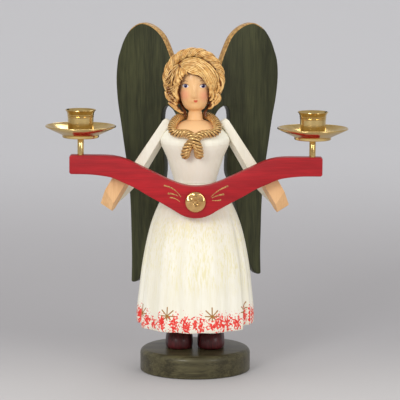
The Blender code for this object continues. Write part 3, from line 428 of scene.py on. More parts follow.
# One eye in the order of painting: off its middle, half widths, softness and colour. The last is a painted
# highlight, a glint of light on the pupil.
EYE_SPOTS = (((0.0, -0.0001), (0.0029, 0.0014), 0.14, srgb(244, 238, 236)),
             ((0.0002, 0.0), (0.00160, 0.00165), 0.16, srgb(38, 42, 118)),
             ((0.0002, 0.0), (0.00100, 0.00105), 0.25, srgb(16, 10, 44)),
             # painted highlight: a glint of light on the pupil
             ((-0.0004, 0.0006), (0.00032, 0.00032), 0.4, srgb(250, 250, 250)))
LASHES = srgb(40, 28, 52)
LID_CREASE_PAINTED_SHADE = srgb(188, 130, 84)
BROW_BROWN = srgb(120, 78, 48)
UPPER_LIP = srgb(214, 92, 66)
LOWER_LIP = srgb(222, 104, 76)
LIP_LINE = srgb(164, 60, 44)


def painted_face():
    """Skin paint, with eyes, brows, lips and a blush on the cheeks, painted shade beside and under the
    nose and in the lid creases, and a painted glint in each eye.
    """
    finish, tree, shader, place = new_finish("painted_face_skin", 0.42, 0.2)
    paint = wood_tones(tree, shader, place, SKIN_DARK, SKIN_LIGHT, UPRIGHT, 40.0, 600.0, 0.00002)

    def spot(middle, off, reach, soft):
        return use_group(tree, SPOT, Place=place, Middle=(middle[0] + off[0], 0, middle[1] + off[1]),
                         Reach=(reach[0], 1.0, reach[1]), Soft=soft)[0]

    def crescent(middle, high, reach, low, less, soft):
        return maths(tree, "SUBTRACT", spot(middle, (0, high), reach, soft),
                     spot(middle, (0, low), less, soft), clamp=True)

    def lay(mask, colour, cover=1.0):
        nonlocal paint
        if cover < 1.0:
            mask = times(tree, mask, cover)
        paint = blend(tree, mask, paint, colour)

    for cheek in CHEEKS:
        lay(spot(cheek, (0, 0), (0.0046, 0.0046), 0.75), BLUSH, 0.52)
    # painted shade down the right side of the nose and under its tip
    lay(spot((0.0022, 0.2608), (0, 0), (0.0011, 0.0068), 0.9), PAINTED_SHADE_BESIDE_NOSE, 0.35)
    lay(spot((0.0004, 0.2560), (0, 0), (0.0026, 0.0006), 0.7), PAINTED_SHADE_UNDER_NOSE, 0.35)
    for eye in EYES:
        for off, reach, soft, colour in EYE_SPOTS:
            lay(spot(eye, off, reach, soft), colour)
        lay(crescent(eye, 0.00015, (0.0034, 0.0019), -0.00045, (0.0036, 0.0020), 0.10), LASHES)
        # a painted shade in the crease above each eye
        lay(crescent(eye, 0.0009, (0.0031, 0.0017), 0.0005, (0.0033, 0.0018), 0.14), LID_CREASE_PAINTED_SHADE, 0.5)
    for start, end in BROWS:
        lay(stroke(tree, place, start, end, 0.0006, 0.00040), BROW_BROWN, 0.85)
    for side in SIDES.values():
        lay(spot(LIPS, (side * 0.0008, 0.0003), (0.0011, 0.0007), 0.3), UPPER_LIP)
    lay(spot(LIPS, (0, -0.0005), (0.0013, 0.0008), 0.3), LOWER_LIP)
    lay(spot(LIPS, (0, 0), (0.0015, 0.00016), 0.5), LIP_LINE, 0.7)
    coat_with(tree, shader, paint)
    return finish


# Gold strokes on the bow: start and end as across and up, bow to the left of the run, width.
BOW_STROKES = (((-0.0275, 0.1797), (-0.0121, 0.1692), 0.0020, 0.0008),
               ((-0.0239, 0.1723), (-0.0147, 0.1700), 0.0006, 0.0009),
               ((-0.0220, 0.1686), (-0.0129, 0.1646), 0.0009, 0.0007),
               ((0.0308, 0.1792), (0.0153, 0.1692), -0.0012, 0.0008),
               ((0.0271, 0.1717), (0.0162, 0.1683), -0.0005, 0.0009),
               ((0.0244, 0.1664), (0.0162, 0.1660), 0.0003, 0.0007))


def painted_bow():
    """Red stain, with gold strokes on the front face alone."""
    finish, tree, shader, place = new_finish("painted_bow_red", 0.45, 0.1)
    paint = wood_tones(tree, shader, place, srgb(152, 16, 26), srgb(184, 24, 34), ACROSS, 150.0, 900.0,
                       0.00008)
    ahead = band(tree, axis_value(tree, place, "Y"), BOW_FRONT + 0.0006, BOW_FRONT + 0.0009, FADING)
    gold = highest(tree, [stroke(tree, place, *run) for run in BOW_STROKES])
    uneven = band(tree, noise(tree, place, 900.0, 2.0), 0.4, 0.6)
    tone = blend(tree, uneven, srgb(146, 100, 58), srgb(206, 162, 98))
    coat_with(tree, shader, blend(tree, times(tree, times(tree, gold, ahead), 0.95), paint, tone))
    return finish


def golden(name, groove_shade, dark, light, scale, roughness, coat=0.4, metallic=0.0):
    """Gold-brown paint over carving, lighter in patches, with painted shade in the hollows between strands
    and painted light on their ridges, after the ridge note.
    """
    finish, tree, shader, place = new_finish(name, roughness, coat, 0.2, metallic)
    tone = blend(tree, band(tree, noise(tree, place, scale, 3.0), 0.36, 0.64), dark, light)
    ridge = add_node(tree, "Attribute", {}, attribute_name="ridge").outputs["Fac"]
    # painted shade in the hollows and painted light on the ridges, after the ridge note
    coat_with(tree, shader, blend(tree, band(tree, ridge, 0.34, 0.80), groove_shade, tone))
    raise_surface(tree, shader, noise(tree, place, scale * 2.5, 3.0), 0.00006)
    return finish


def wing_rim():
    """The wing's edge: gold over its top and down its inner side, and stain elsewhere."""
    finish, tree, shader, place = new_finish("wing_rim_gold", 0.42, 0.2)
    stain = wood_tones(tree, shader, place, srgb(40, 42, 22), srgb(60, 62, 38), UPRIGHT)
    inner = band(tree, maths(tree, "ABSOLUTE", axis_value(tree, place, "X")), 0.050, 0.071, FADING)
    high = band(tree, axis_value(tree, place, "Z"), 0.250, 0.268)
    uneven = times(tree, minus(tree, noise(tree, place, 160.0), 0.5), 0.5)
    cover = band(tree, plus(tree, times(tree, inner, high), uneven), 0.30, 0.55)
    brushed = band(tree, noise(tree, place, 420.0, 2.0), 0.35, 0.65)
    gold = blend(tree, brushed, srgb(150, 110, 56), srgb(196, 154, 88))
    coat_with(tree, shader, blend(tree, cover, stain, gold))
    return finish


def polished_brass(name, light, dark):
    finish, tree, shader, place = new_finish(name, metallic=1.0)
    tarnish = band(tree, noise(tree, place, 90.0, 3.0), 0.4, 0.7)
    coat_with(tree, shader, blend(tree, tarnish, light, dark))
    worn = band(tree, noise(tree, place, 240.0, 3.0), 0.3, 0.8, (0.12, 0.26))
    tree.links.new(worn, shader.inputs["Roughness"])
    return finish


BASE_FINISH = stained_wood("olive_stained_base", srgb(52, 47, 28), srgb(92, 86, 58), ACROSS, 190.0,
                           roughness=0.42, coat=0.15)
SKIRT_FINISH = painted_skirt()
FACE_FINISH = painted_face()
BOW_FINISH = painted_bow()
# The first colour of each is the painted shade in the hollows between the carved strands.
HAIR_FINISH = golden("golden_hair_paint", srgb(112, 60, 20), srgb(216, 160, 86), srgb(250, 206, 132),
                     260.0, 0.3)
ROPE_FINISH = golden("bronze_rope_paint", srgb(80, 42, 14), srgb(206, 156, 88), srgb(240, 200, 132),
                     420.0, 0.24, metallic=0.55)
BRASS_FINISH = polished_brass("polished_brass", srgb(230, 200, 136), srgb(210, 176, 110))
ROSETTE_FINISH = polished_brass("warm_brass", srgb(236, 192, 128), srgb(204, 156, 96))
WING_FINISH = stained_wood("green_stained_wing", srgb(42, 44, 23), srgb(69, 71, 42), UPRIGHT,
                           fibres=170.0, roughness=0.55)
WING_RIM_FINISH = wing_rim()
SHOE_FINISH = stained_wood("dark_red_shoe_stain", srgb(48, 16, 16), srgb(94, 30, 34), UPRIGHT, 260.0,
                           roughness=0.42, coat=0.15)

# The frame's own nodes take their finish by the record's slot, or by name where they differ.
SLOT_FINISHES = {
    "dark_stain": BASE_FINISH,
    "shoe_red": SHOE_FINISH,
    "white_paint": stained_wood("white_painted_sleeve", WHITE_DARK, WHITE_LIGHT, UPRIGHT, 60.0,
                                600.0, roughness=0.48, coat=0.12, relief=0.00003),
    "skin_paint": stained_wood("skin_painted_hand", srgb(222, 172, 118), srgb(240, 194, 142),
                               UPRIGHT, 120.0, 700.0, roughness=0.42, coat=0.2, relief=0.00005),
    # Frame pieces in this finish have no ridge note, so they are painted all over in the shade colour of
    # the hollows.
    "hair_brown": HAIR_FINISH,
    "bronze": ROPE_FINISH,
    "bow_red": BOW_FINISH,
    "brass": BRASS_FINISH,
    "wing_green": WING_FINISH,
    "beech": stained_wood("bare_beech", srgb(168, 128, 86), srgb(205, 168, 120), UPRIGHT),
}
NODE_FINISHES = {"bodice": painted_bodice()}

for entry in frame["record"]["subparts"]:
    mesh = nodes[entry["node"]].data
    mesh.materials.clear()
    mesh.materials.append(NODE_FINISHES.get(entry["node"], SLOT_FINISHES[entry["material_slot"]]))

# Shaping
def spline(points, per_span):
    """Points on a smooth open curve through the given ones."""
    curve = []
    for i in range(len(points) - 1):
        before = points[max(i - 1, 0)]
        start, end = points[i], points[i + 1]
        after = points[min(i + 2, len(points) - 1)]
        for step in range(per_span):
            t = step / per_span
            curve.append(tuple(
                0.5 * (2 * b + (c - a) * t + (2 * a - 5 * b + 4 * c - d) * t * t
                       + (3 * b - a - 3 * c + d) * t ** 3)
                for a, b, c, d in zip(before, start, end, after)))
    curve.append(tuple(points[-1]))
    return curve


def read_curve(curve, share):
    """The second value of a curve of pairs where the first one is the share."""
    for start, end in zip(curve, curve[1:]):
        if share <= end[0]:
            span = end[0] - start[0]
            part = (share - start[0]) / span if span else 0.0
            return start[1] + (end[1] - start[1]) * part
    return curve[-1][1]


def pick(piece):
    """Selects a piece alone."""
    deselect()
    piece.select_set(True)
    bpy.context.view_layer.objects.active = piece


def settle(piece):
    """Puts a piece's place into its mesh, with its object at the origin."""
    pick(piece)
    bpy.ops.object.transform_apply(location=True, rotation=True, scale=True)


def face_outwards(piece, merge=None):
    """Turns all faces outwards, once points nearer than merge are made one."""
    pick(piece)
    bpy.ops.object.mode_set(mode="EDIT")
    bpy.ops.mesh.select_all(action="SELECT")
    if merge:
        bpy.ops.mesh.remove_doubles(threshold=merge)
    bpy.ops.mesh.normals_make_consistent(inside=False)
    bpy.ops.object.mode_set(mode="OBJECT")


def turned(name, profile, steps, half_depth_share=None):
    """A solid turned about the upright axis, drawn up ring by ring from its foot.

    The profile gives radius and height, and half_depth_share how deep an oval ring is."""
    deselect()
    radius, height = profile[0]
    oval = half_depth_share or (lambda level: 1.0)
    bpy.ops.mesh.primitive_circle_add(vertices=steps, radius=radius, fill_type="NGON",
                                      location=(0, 0, height))
    piece = bpy.context.object
    piece.name = name
    bpy.ops.object.mode_set(mode="EDIT")
    depth = oval(0)
    bpy.ops.transform.resize(value=(1.0, depth, 1.0), center_override=(0, 0, height))
    for level, (wider, higher) in enumerate(profile[1:], 1):
        bpy.ops.mesh.extrude_region_move(
            TRANSFORM_OT_translate={"value": (0, 0, higher - height)})
        share = wider / radius
        deeper = oval(level)
        bpy.ops.transform.resize(value=(share, share * deeper / depth, 1.0),
                                 center_override=(0, 0, higher))
        radius, height, depth = wider, higher, deeper
    face_outwards(piece)
    settle(piece)
    return piece


def arc(middle, radius, start, end, steps):
    return [(middle[0] + radius * math.cos(start + (end - start) * i / steps),
             middle[1] + radius * math.sin(start + (end - start) * i / steps))
            for i in range(steps + 1)]


SEAM = 0.00001          # points nearer than this are one
ROUNDING = 2            # steps of the round edges and strands


def board(name, outline, thickness, edge):
    """A board sawn to an outline of (across, up), with rounded rims, lying about z = 0."""
    deselect()
    curve = bpy.data.curves.new(name, "CURVE")
    curve.dimensions = "2D"
    curve.fill_mode = "BOTH"
    curve.extrude = thickness / 2 - edge
    curve.bevel_depth = edge
    curve.bevel_resolution = ROUNDING
    curve.offset = -edge
    run = curve.splines.new("POLY")
    run.points.add(len(outline) - 1)
    for point, (across, up) in zip(run.points, outline):
        point.co = (across, up, 0, 1)
    run.use_cyclic_u = True
    return as_mesh(placed(name, curve))


def as_mesh(piece):
    """Makes a drawn curve a mesh, closes its seams and turns its faces outwards."""
    pick(piece)
    bpy.ops.object.convert(target="MESH")
    piece = bpy.context.object
    face_outwards(piece, SEAM)
    return piece


def strands(name, lines, radius):
    """Round strands along lines of (place, share of the thickness), as one piece."""
    deselect()
    curve = bpy.data.curves.new(name, "CURVE")
    curve.dimensions = "3D"
    curve.bevel_depth = radius
    curve.bevel_resolution = ROUNDING
    curve.use_fill_caps = True
    for line in lines:
        run = curve.splines.new("POLY")
        run.points.add(len(line) - 1)
        for point, (place, share) in zip(run.points, line):
            point.co = (*place, 1)
            point.radius = share
    return as_mesh(placed(name, curve))


def shift(piece, matrix):
    """Carries a piece to its place, and keeps its object at the origin."""
    piece.matrix_world = matrix
    settle(piece)
    if matrix.determinant() < 0:
        face_outwards(piece)


def done(piece, finish, slot, *stands_for, angle=35):
    """Smooths a piece, gives it its finish and ties it to the frame."""
    settle(piece)
    bpy.ops.object.shade_smooth_by_angle(angle=math.radians(angle))
    if not piece.data.materials:
        piece.data.materials.append(finish)
    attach(piece, "root")
    if stands_for:
        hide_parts(*stands_for)
    return piece


# Base
def shape_base():
    radius = BASE_RADIUS
    profile = [(radius - 0.0030, 0.0)]
    profile += arc((radius - 0.0015, 0.0015), 0.0015, -math.pi / 2, 0, 4)
    profile += arc((radius - 0.0050, BASE_TOP - 0.0050), 0.0050, 0, math.pi / 2, 9)
    profile += [(radius - 0.0150, BASE_TOP)]
    return done(turned("turned_base", profile, 112), BASE_FINISH, "dark_stain", "base")


# Shoes: height share and how wide each level is.
SHOE_CURVE = ((0.0, 0.86), (0.04, 0.95), (0.14, 1.0), (0.34, 1.0), (0.56, 0.965), (0.76, 0.885),
              (0.92, 0.78), (1.0, 0.70))
SHOE_SQUARE = 0.10      # how far the shoe bulges at its corners
SHOE_TOE = 0.16         # how far the upper leans towards the toe


def shape_shoe(name):
    low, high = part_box(name)
    middle = (low + high) / 2
    half_width, half_length = (high.x - low.x) / 2, (high.y - low.y) / 2
    profile = [(half_width * wide, low.z + (high.z - low.z) * up)
               for up, wide in spline(SHOE_CURVE, 3)]
    piece = turned(f"painted_{name}", profile, 56, lambda level: half_length / half_width)
    for vert in piece.data.vertices:
        x, y, z = vert.co
        angle = math.atan2(y, x * half_length / half_width)
        square = 1 + SHOE_SQUARE * (1 - abs(math.cos(2 * angle)))
        share = (z - low.z) / (high.z - low.z)
        vert.co.x = x * square
        vert.co.y = y * square + (half_length * SHOE_TOE * max(0.0, share - 0.35) if y < 0 else 0)
    shift(piece, Matrix.Translation((middle.x, middle.y, 0)))
    return done(piece, SHOE_FINISH, "shoe_red", name, angle=60)


# Skirt: height share and flare share, from the hem to the waist.
SKIRT_CURVE = ((0.0, 0.994), (0.04, 1.0), (0.12, 0.985), (0.22, 0.945), (0.315, 0.905),
               (0.41, 0.86), (0.51, 0.795), (0.61, 0.715), (0.70, 0.625), (0.78, 0.515),
               (0.855, 0.385), (0.915, 0.245), (0.96, 0.125), (0.985, 0.05), (1.0, 0.0))
# Folds: degrees from the front, depth at the hem and half width in degrees.
SKIRT_FOLDS = ((-50, 0.0024, 10), (-18, 0.0030, 7), (7.5, 0.0031, 6), (38, 0.0027, 9),
               (-72, 0.0042, 4.5), (60.5, 0.0042, 4.5), (-96, 0.0012, 9), (90, 0.0012, 9),
               (-126, 0.0022, 11), (114, 0.0024, 11), (-152, 0.0022, 10), (141, 0.0022, 11),
               (168, 0.0024, 11), (1.5, 0.0008, 2.6), (-31, 0.0006, 3.0), (26, 0.0007, 3.2),
               (-42, 0.0005, 2.4), (50, 0.0006, 2.6), (-82, 0.0009, 3.0), (72, 0.0011, 2.6),
               (80, 0.0009, 2.6), (-62, 0.0006, 2.4), (104, 0.0008, 3.0), (-108, 0.0008, 3.0),
               (-138, 0.0008, 3.0), (128, 0.0008, 3.0), (154, 0.0007, 3.0), (-168, 0.0008, 3.0))
PANEL = (-72.0, 60.5)   # the deep creases at the sides of the front panel
SKIRT_COLUMNS = 240
SKIRT_ROWS = 44


def side_hem(degrees):
    """1 on the side and back folds, and 0 on the front panel."""
    middle = (PANEL[0] + PANEL[1]) / 2
    half = (PANEL[1] - PANEL[0]) / 2
    away = abs((degrees - middle + 180) % 360 - 180) - half
    return clamped(0.5 + away / 5)


def fold_depth(degrees, share):
    strength = max(0.0, 1.0 - share / 0.97) ** 0.8
    depth = 0.0
    for middle, deepest, half_width in SKIRT_FOLDS:
        away = (degrees - middle + 180) % 360 - 180
        if abs(away) < 4 * half_width:
            depth += deepest * math.exp(-(away / half_width) ** 2)
    return depth * strength


def shape_skirt():
    flare = spline(SKIRT_CURVE, 4)
    shares = [(row / SKIRT_ROWS) ** 0.95 for row in range(SKIRT_ROWS + 1)]
    widths, depths = ([WAIST_RADIUS + (hem - WAIST_RADIUS) * read_curve(flare, share)
                       for share in shares] for hem in (HEM_HALF_WIDTH, HEM_HALF_DEPTH))
    profile = [(0.80 * widths[0], HEM_Z), (0.965 * widths[0], HEM_Z),
               (widths[0] - 0.0004, HEM_Z + 0.0001)]
    profile += [(width, HEM_Z + 0.0005 + share * (SKIRT_HEIGHT - 0.0005))
                for share, width in zip(shares, widths)]
    profile += [(widths[-1] - 0.0006, HEM_Z + SKIRT_HEIGHT + 0.0001)]
    ovals = [depths[0] / widths[0]] * 3 + [d / w for d, w in zip(depths, widths)] + [1.0]
    piece = turned("painted_skirt", profile, SKIRT_COLUMNS, lambda level: ovals[level])
    mesh = piece.data
    map_layer = mesh.uv_layers.new(name="round_and_up")
    around = []
    for vert in mesh.vertices:
        x, y, z = vert.co
        share = clamped((z - HEM_Z) / SKIRT_HEIGHT)
        degrees = math.degrees(math.atan2(x, -y * HEM_HALF_WIDTH / HEM_HALF_DEPTH))
        around.append(degrees)
        reach = 1 - fold_depth(degrees, share) / HEM_HALF_DEPTH * min(
            1.0, math.hypot(x, y) / (0.6 * WAIST_RADIUS))
        rise = HEM_LIFT * side_hem(degrees) * max(0.0, 1 - share / 0.25)
        if math.hypot(x, y) < 0.9 * HEM_HALF_DEPTH and share == 0.0:
            rise = 0.0
        aside = SKIRT_ASIDE * (0.5 + 0.5 * math.sin(math.pi * share)) * (1 - share ** 8)
        vert.co = (x * reach + aside, y * reach, z + rise)
    for face in mesh.polygons:
        turns = [around[v] for v in face.vertices]
        wraps = max(turns) - min(turns) > 180
        for corner, v in zip(face.loop_indices, face.vertices):
            turn = around[v] + (360 if wraps and around[v] < 0 else 0)
            up = (mesh.vertices[v].co.z - HEM_Z - HEM_LIFT * side_hem(around[v])) / SKIRT_HEIGHT
            map_layer.data[corner].uv = ((turn + 180) / 360, up)
    return done(piece, SKIRT_FINISH, "white_paint", "skirt", angle=60)


# Bodice line, for what lies on it: height share and width share.
BODICE_LOWER = ((0.0, 0.0), (0.0625, 0.03), (0.32, 0.26), (0.58, 0.515), (0.70, 0.677),
                (0.845, 0.877), (0.94, 0.98), (1.0, 1.0))
BODICE_UPPER = ((0.135, 0.984), (0.30, 0.92), (0.46, 0.813), (0.605, 0.68), (0.746, 0.51),
                (0.84, 0.36), (0.92, 0.195), (0.968, 0.092), (1.0, 0.0))


def bodice_line():
    """(radius, height) from the neck's seat down to the waist."""
    points = [(WAIST_RADIUS + (BUST_RADIUS - WAIST_RADIUS) * out, WAIST_Z + BUST_RISE * up)
              for up, out in BODICE_LOWER]
    points += [(NECK_SEAT + (BUST_RADIUS - NECK_SEAT) * out, BUST_Z + SHOULDER_RISE * up)
               for up, out in BODICE_UPPER]
    return [Vector(point) for point in reversed(points)]


def seat_on_bodice(degrees, down, lift):
    """A point off the bodice, down its line from the neck, at an angle from the front."""
    line = bodice_line()
    here = line[-1]
    across = Vector((1, 0))
    left = down
    for start, end in zip(line, line[1:]):
        span = end - start
        across = Vector((-span.y, span.x)).normalized()
        if left <= span.length:
            here = start + span * (left / span.length)
            break
        left -= span.length
    out = here + across * math.copysign(lift, across.x)
    angle = math.radians(degrees)
    return Vector((out.x * math.sin(angle), -out.x * math.cos(angle), out.y))


# Rope collar: degrees from the front, length down the bodice from the neck, and lift.
COLLAR_RUN = ((-184, 0.0042, 0.0), (-165, 0.0042, 0.0), (-140, 0.0043, 0.0),
              (-115, 0.0048, 0.0), (-90, 0.0062, 0.0), (-68, 0.0106, 0.0),
              (-52, 0.0181, 0.0), (-40, 0.0238, 0.0), (-28, 0.0260, 0.0),
              (-15, 0.0264, 0.2), (-6, 0.0276, 0.8))
ROPE_TAILS = {-1: ((1.0, 0.0308, 1.0), (5.0, 0.0352, 0.5), (7.0, 0.0402, 0.1), (7.6, 0.0450, 0.0)),
              1: ((2.5, 0.0308, 1.0), (9.5, 0.0352, 0.5), (13.8, 0.0402, 0.1), (14.6, 0.0450, 0.0))}
ROPE_RADIUS = 0.0041
ROPE_PITCH = 0.0160
ROPE_COUNT = 5
ROPE_OVER = 0.0040      # how far one side lies over the other where they cross
ROPE_STRAND = 0.00138


def even_run(points, step):
    """A smooth path through the points, in steps of about one length."""
    fine = [Vector(point) for point in spline([tuple(point) for point in points], 24)]
    path = [fine[0]]
    for point in fine[1:]:
        if (point - path[-1]).length >= step:
            path.append(point)
    return path


def laid_strands(path, frames, pitch, count, reach, share, turn=1):
    """Strands laid around a path, each with its share of the thickness along the way."""
    lines = []
    for strand in range(count):
        line = []
        length = 0.0
        for i, place in enumerate(path):
            if i:
                length += (place - path[i - 1]).length
            part = share(i / (len(path) - 1))
            angle = 2 * math.pi * (turn * length / pitch + strand / count)
            out, aside = frames[i]
            line.append((place + (out * math.cos(angle) + aside * math.sin(angle)) * reach * part,
                         part))
        lines.append(line)
    return lines


def frames_along(path, outward):
    """Two directions across the path at each point, the first one nearest to outward."""
    frames = []
    for i, place in enumerate(path):
        along = (path[min(i + 1, len(path) - 1)] - path[max(i - 1, 0)]).normalized()
        out = outward(place)
        out = (out - along * out.dot(along)).normalized()
        frames.append((out, along.cross(out)))
    return frames


def rope_tail(part):
    """The rope is slim behind the neck and swells towards its blunt end."""
    swell = 1.0 + 0.12 * clamped((part - 0.72) / 0.15)
    swell *= 0.86 + 0.14 * min(1.0, part / 0.4)
    return swell if part < 0.965 else swell * (1.0 - 0.55 * ((part - 0.965) / 0.035) ** 2)


def rope_end(part):
    """The filling of the rope widens to close its blunt end."""
    if part < 0.94:
        return 1.0
    return 1.0 + 0.42 * (part - 0.94) / 0.045 if part < 0.985 else 0.9


def mark_ridge_shade(piece, spines):
    """Notes how high each point stands on its strand, from 0 at the bottom of the hollows to 1 on the
    ridge, which the finish paints as shade and light.

    The spines are (place, outwards, radius, brightness) along the strands; a brightness under 1 is painted
    shade over the whole strand."""
    nearest = KDTree(len(spines))
    for i, spine in enumerate(spines):
        nearest.insert(spine[0], i)
    nearest.balance()
    ridge = piece.data.attributes.new("ridge", "FLOAT", "POINT")
    for vert, note in zip(piece.data.vertices, ridge.data):
        place, outwards, radius, bright = spines[nearest.find(vert.co)[1]]
        note.value = clamped((vert.co - place).dot(outwards) / radius) * bright


def shape_rope():
    lines = []
    spines = []
    for side, over in ((-1, ROPE_OVER), (1, 0.0)):
        controls = [seat_on_bodice(-side * degrees, down, ROPE_RADIUS + GAP + over * lift)
                    for degrees, down, lift in COLLAR_RUN + ROPE_TAILS[side]]
        path = even_run(controls, ROPE_PITCH / 24)
        frames = frames_along(path, lambda place: Vector((place.x, place.y, 0.004)))
        laid = laid_strands(path, frames, ROPE_PITCH, ROPE_COUNT, ROPE_RADIUS - ROPE_STRAND,
                            rope_tail, side)
        for line in laid:
            spines += [(place, (place - middle).normalized(), ROPE_STRAND, 1.0)
                       for (place, _), middle in zip(line, path)]
        lines += laid
        core = (ROPE_RADIUS - ROPE_STRAND) / ROPE_STRAND
        lines.append([(place, core * rope_end(i / (len(path) - 1))) for i, place in enumerate(path)])
    piece = strands("laid_rope", lines, ROPE_STRAND)
    mark_ridge_shade(piece, spines)
    return done(piece, ROPE_FINISH, "bronze", "rope_collar", angle=70)


# Head: height share from the chin and radius share.
HEAD_CURVE = ((0.0, 0.42), (0.022, 0.47), (0.06, 0.64), (0.125, 0.78), (0.225, 0.90),
              (0.33, 0.985), (0.45, 1.0), (0.58, 0.985), (0.70, 0.93), (0.81, 0.81),
              (0.90, 0.63), (0.965, 0.39), (0.992, 0.16))
# Soft forms of the face: across, up, how far out, and half widths across and up.
FACE_FORMS = ((0.0, 0.2615, 0.0018, 0.0015, 0.0055), (0.0, 0.2578, 0.0012, 0.0021, 0.0020),
              (-0.0078, 0.2668, -0.0009, 0.0034, 0.0024), (0.0078, 0.2668, -0.0009, 0.0034, 0.0024),
              (0.0, 0.2533, 0.0005, 0.0030, 0.0012), (0.0, 0.2462, 0.0008, 0.0040, 0.0026),
              (-0.0092, 0.2582, 0.0006, 0.0042, 0.0046), (0.0092, 0.2582, 0.0006, 0.0042, 0.0046),
              (0.0, 0.2507, -0.0003, 0.0032, 0.0012))
FACE_ASIDE = -0.0008
FACE_WIDER = 1.045


def shape_head():
    profile = [(NECK_SEAT + 0.0006, NECK_Z + 0.0001), (NECK_RADIUS + 0.0002, NECK_Z + 0.0012),
               (NECK_RADIUS * 0.97, NECK_Z + 0.0032), (NECK_RADIUS * 0.96, NECK_Z + 0.0055)]
    profile += [(HEAD_RADIUS * max(out, 0.10), CHIN_Z + HEAD_HEIGHT * up)
                for up, out in spline(HEAD_CURVE, 5)]
    piece = turned("painted_head", profile, 96)
    for vert in piece.data.vertices:
        x, y, z = vert.co
        if z > CHIN_Z:
            rise = min(1.0, (z - CHIN_Z) / 0.018)
            vert.co.x = x * (1 + (FACE_WIDER - 1) * rise) + FACE_ASIDE * rise
        if y < 0 and z > CHIN_Z - 0.001:
            ahead = min(1.0, -y / (0.5 * HEAD_RADIUS))
            for across, up, out, half_across, half_up in FACE_FORMS:
                near = math.exp(-((x - across) / half_across) ** 2 - ((z - up) / half_up) ** 2)
                vert.co.y -= out * near * ahead
    return done(piece, FACE_FINISH, "skin_paint", "head", angle=60)


# Hair. Guide lines of the carved locks, in millimetres from the hair's middle as it is
# seen from the front: across and up.
VIEW_SLOPE = math.tan(PHOTO_PITCH)
LOCK_RADIUS = 0.00088
CAP_RISE = 0.0185
CAP_BACK_RISE = 0.0245
BRAID_FRONT = 4.8       # millimetres
LEAST_AHEAD = 16.0      # millimetres, so that locks at the side still rise to the front
GUIDES = {
    "under_braid": ((-13.4, 12.6), (-8.5, 17.2), (0.0, 18.9), (6.8, 17.5), (13.0, 13.8),
                    (17.9, 9.2), (21.6, 3.0), (23.0, -4.0), (22.4, -11.0)),
    "comb": ((-12.8, 12.0), (-7.0, 15.0), (0.4, 15.4), (6.8, 12.4), (11.4, 8.2), (15.0, 3.4),
             (17.8, -2.0), (19.2, -8.4), (19.2, -15.6)),
    "arch": ((-12.0, 11.2), (-5.6, 12.6), (1.0, 11.8), (5.8, 9.0), (9.6, 5.0), (12.8, 0.4),
             (15.8, -5.2), (17.6, -11.4), (17.8, -18.0)),
    "sweep": ((-11.2, 10.2), (-5.0, 10.4), (0.8, 9.0), (5.6, 6.4), (9.4, 2.2), (12.6, -2.8),
              (15.2, -9.0), (16.4, -15.6)),
    "fringe": ((-10.4, 9.4), (-4.8, 8.0), (0.2, 6.0), (4.6, 4.4), (8.0, 1.2), (10.8, -3.0),
               (13.6, -8.2), (15.0, -14.6)),
    "brow": ((-9.4, 8.8), (-5.4, 5.0), (-1.2, 2.8), (3.2, 2.0), (7.2, -0.2), (10.4, -4.2),
             (13.2, -9.0), (14.6, -13.8)),
    "wisp": ((-10.0, 10.2), (-6.4, 6.4), (-5.0, 2.2)),
    "wisp_mid": ((-11.6, 9.6), (-10.0, 5.8), (-8.6, 2.2)),
    "wisp_left": ((-12.6, 9.6), (-13.4, 5.0), (-12.8, 0.8), (-11.0, -4.2)),
    "temple": ((-13.2, 10.0), (-15.4, 5.8), (-16.0, 1.0), (-15.2, -4.0), (-13.8, -8.6)),
    "ear": ((-13.6, 10.6), (-17.0, 6.4), (-19.0, 1.8), (-20.6, -2.6), (-23.2, -6.6)),
    "side": ((-14.0, 11.4), (-18.4, 8.4), (-21.6, 3.6), (-24.2, -1.6), (-26.6, -3.6)),
    "outer": ((-13.8, 13.0), (-17.4, 11.6), (-21.0, 8.0), (-23.6, 3.6), (-25.6, -0.2)),
    "cheek": ((-13.0, -1.0), (-15.6, -4.8), (-19.8, -7.6), (-25.8, -8.2)),
    "jaw": ((-13.4, -8.0), (-16.8, -11.8), (-21.2, -14.6), (-25.6, -16.6)),
    "nape": ((-14.4, -12.0), (-17.6, -17.0), (-21.4, -20.6), (-23.4, -22.4)),
}
# Families of locks between two guides: how many, their wave and their brightness, where a lower brightness
# is painted shade on the locks at the side of the head.
FAMILIES = (("under_braid", "comb", 3, 0.15, 1.0), ("comb", "arch", 2, 0.15, 1.0),
            ("arch", "sweep", 2, 0.2, 0.95), ("sweep", "fringe", 2, 0.2, 1.0),
            ("fringe", "brow", 2, 0.25, 0.95), ("wisp", "wisp_mid", 3, 0.1, 1.0),
            ("wisp_mid", "wisp_left", 2, 0.1, 0.9), ("wisp_left", "temple", 1, 0.3, 0.82),
            ("temple", "ear", 2, 0.5, 0.78), ("ear", "side", 2, 0.4, 0.76),
            ("side", "outer", 2, 0.3, 0.78), ("cheek", "jaw", 3, 0.6, 0.74),
            ("jaw", "nape", 2, 0.6, 0.74))
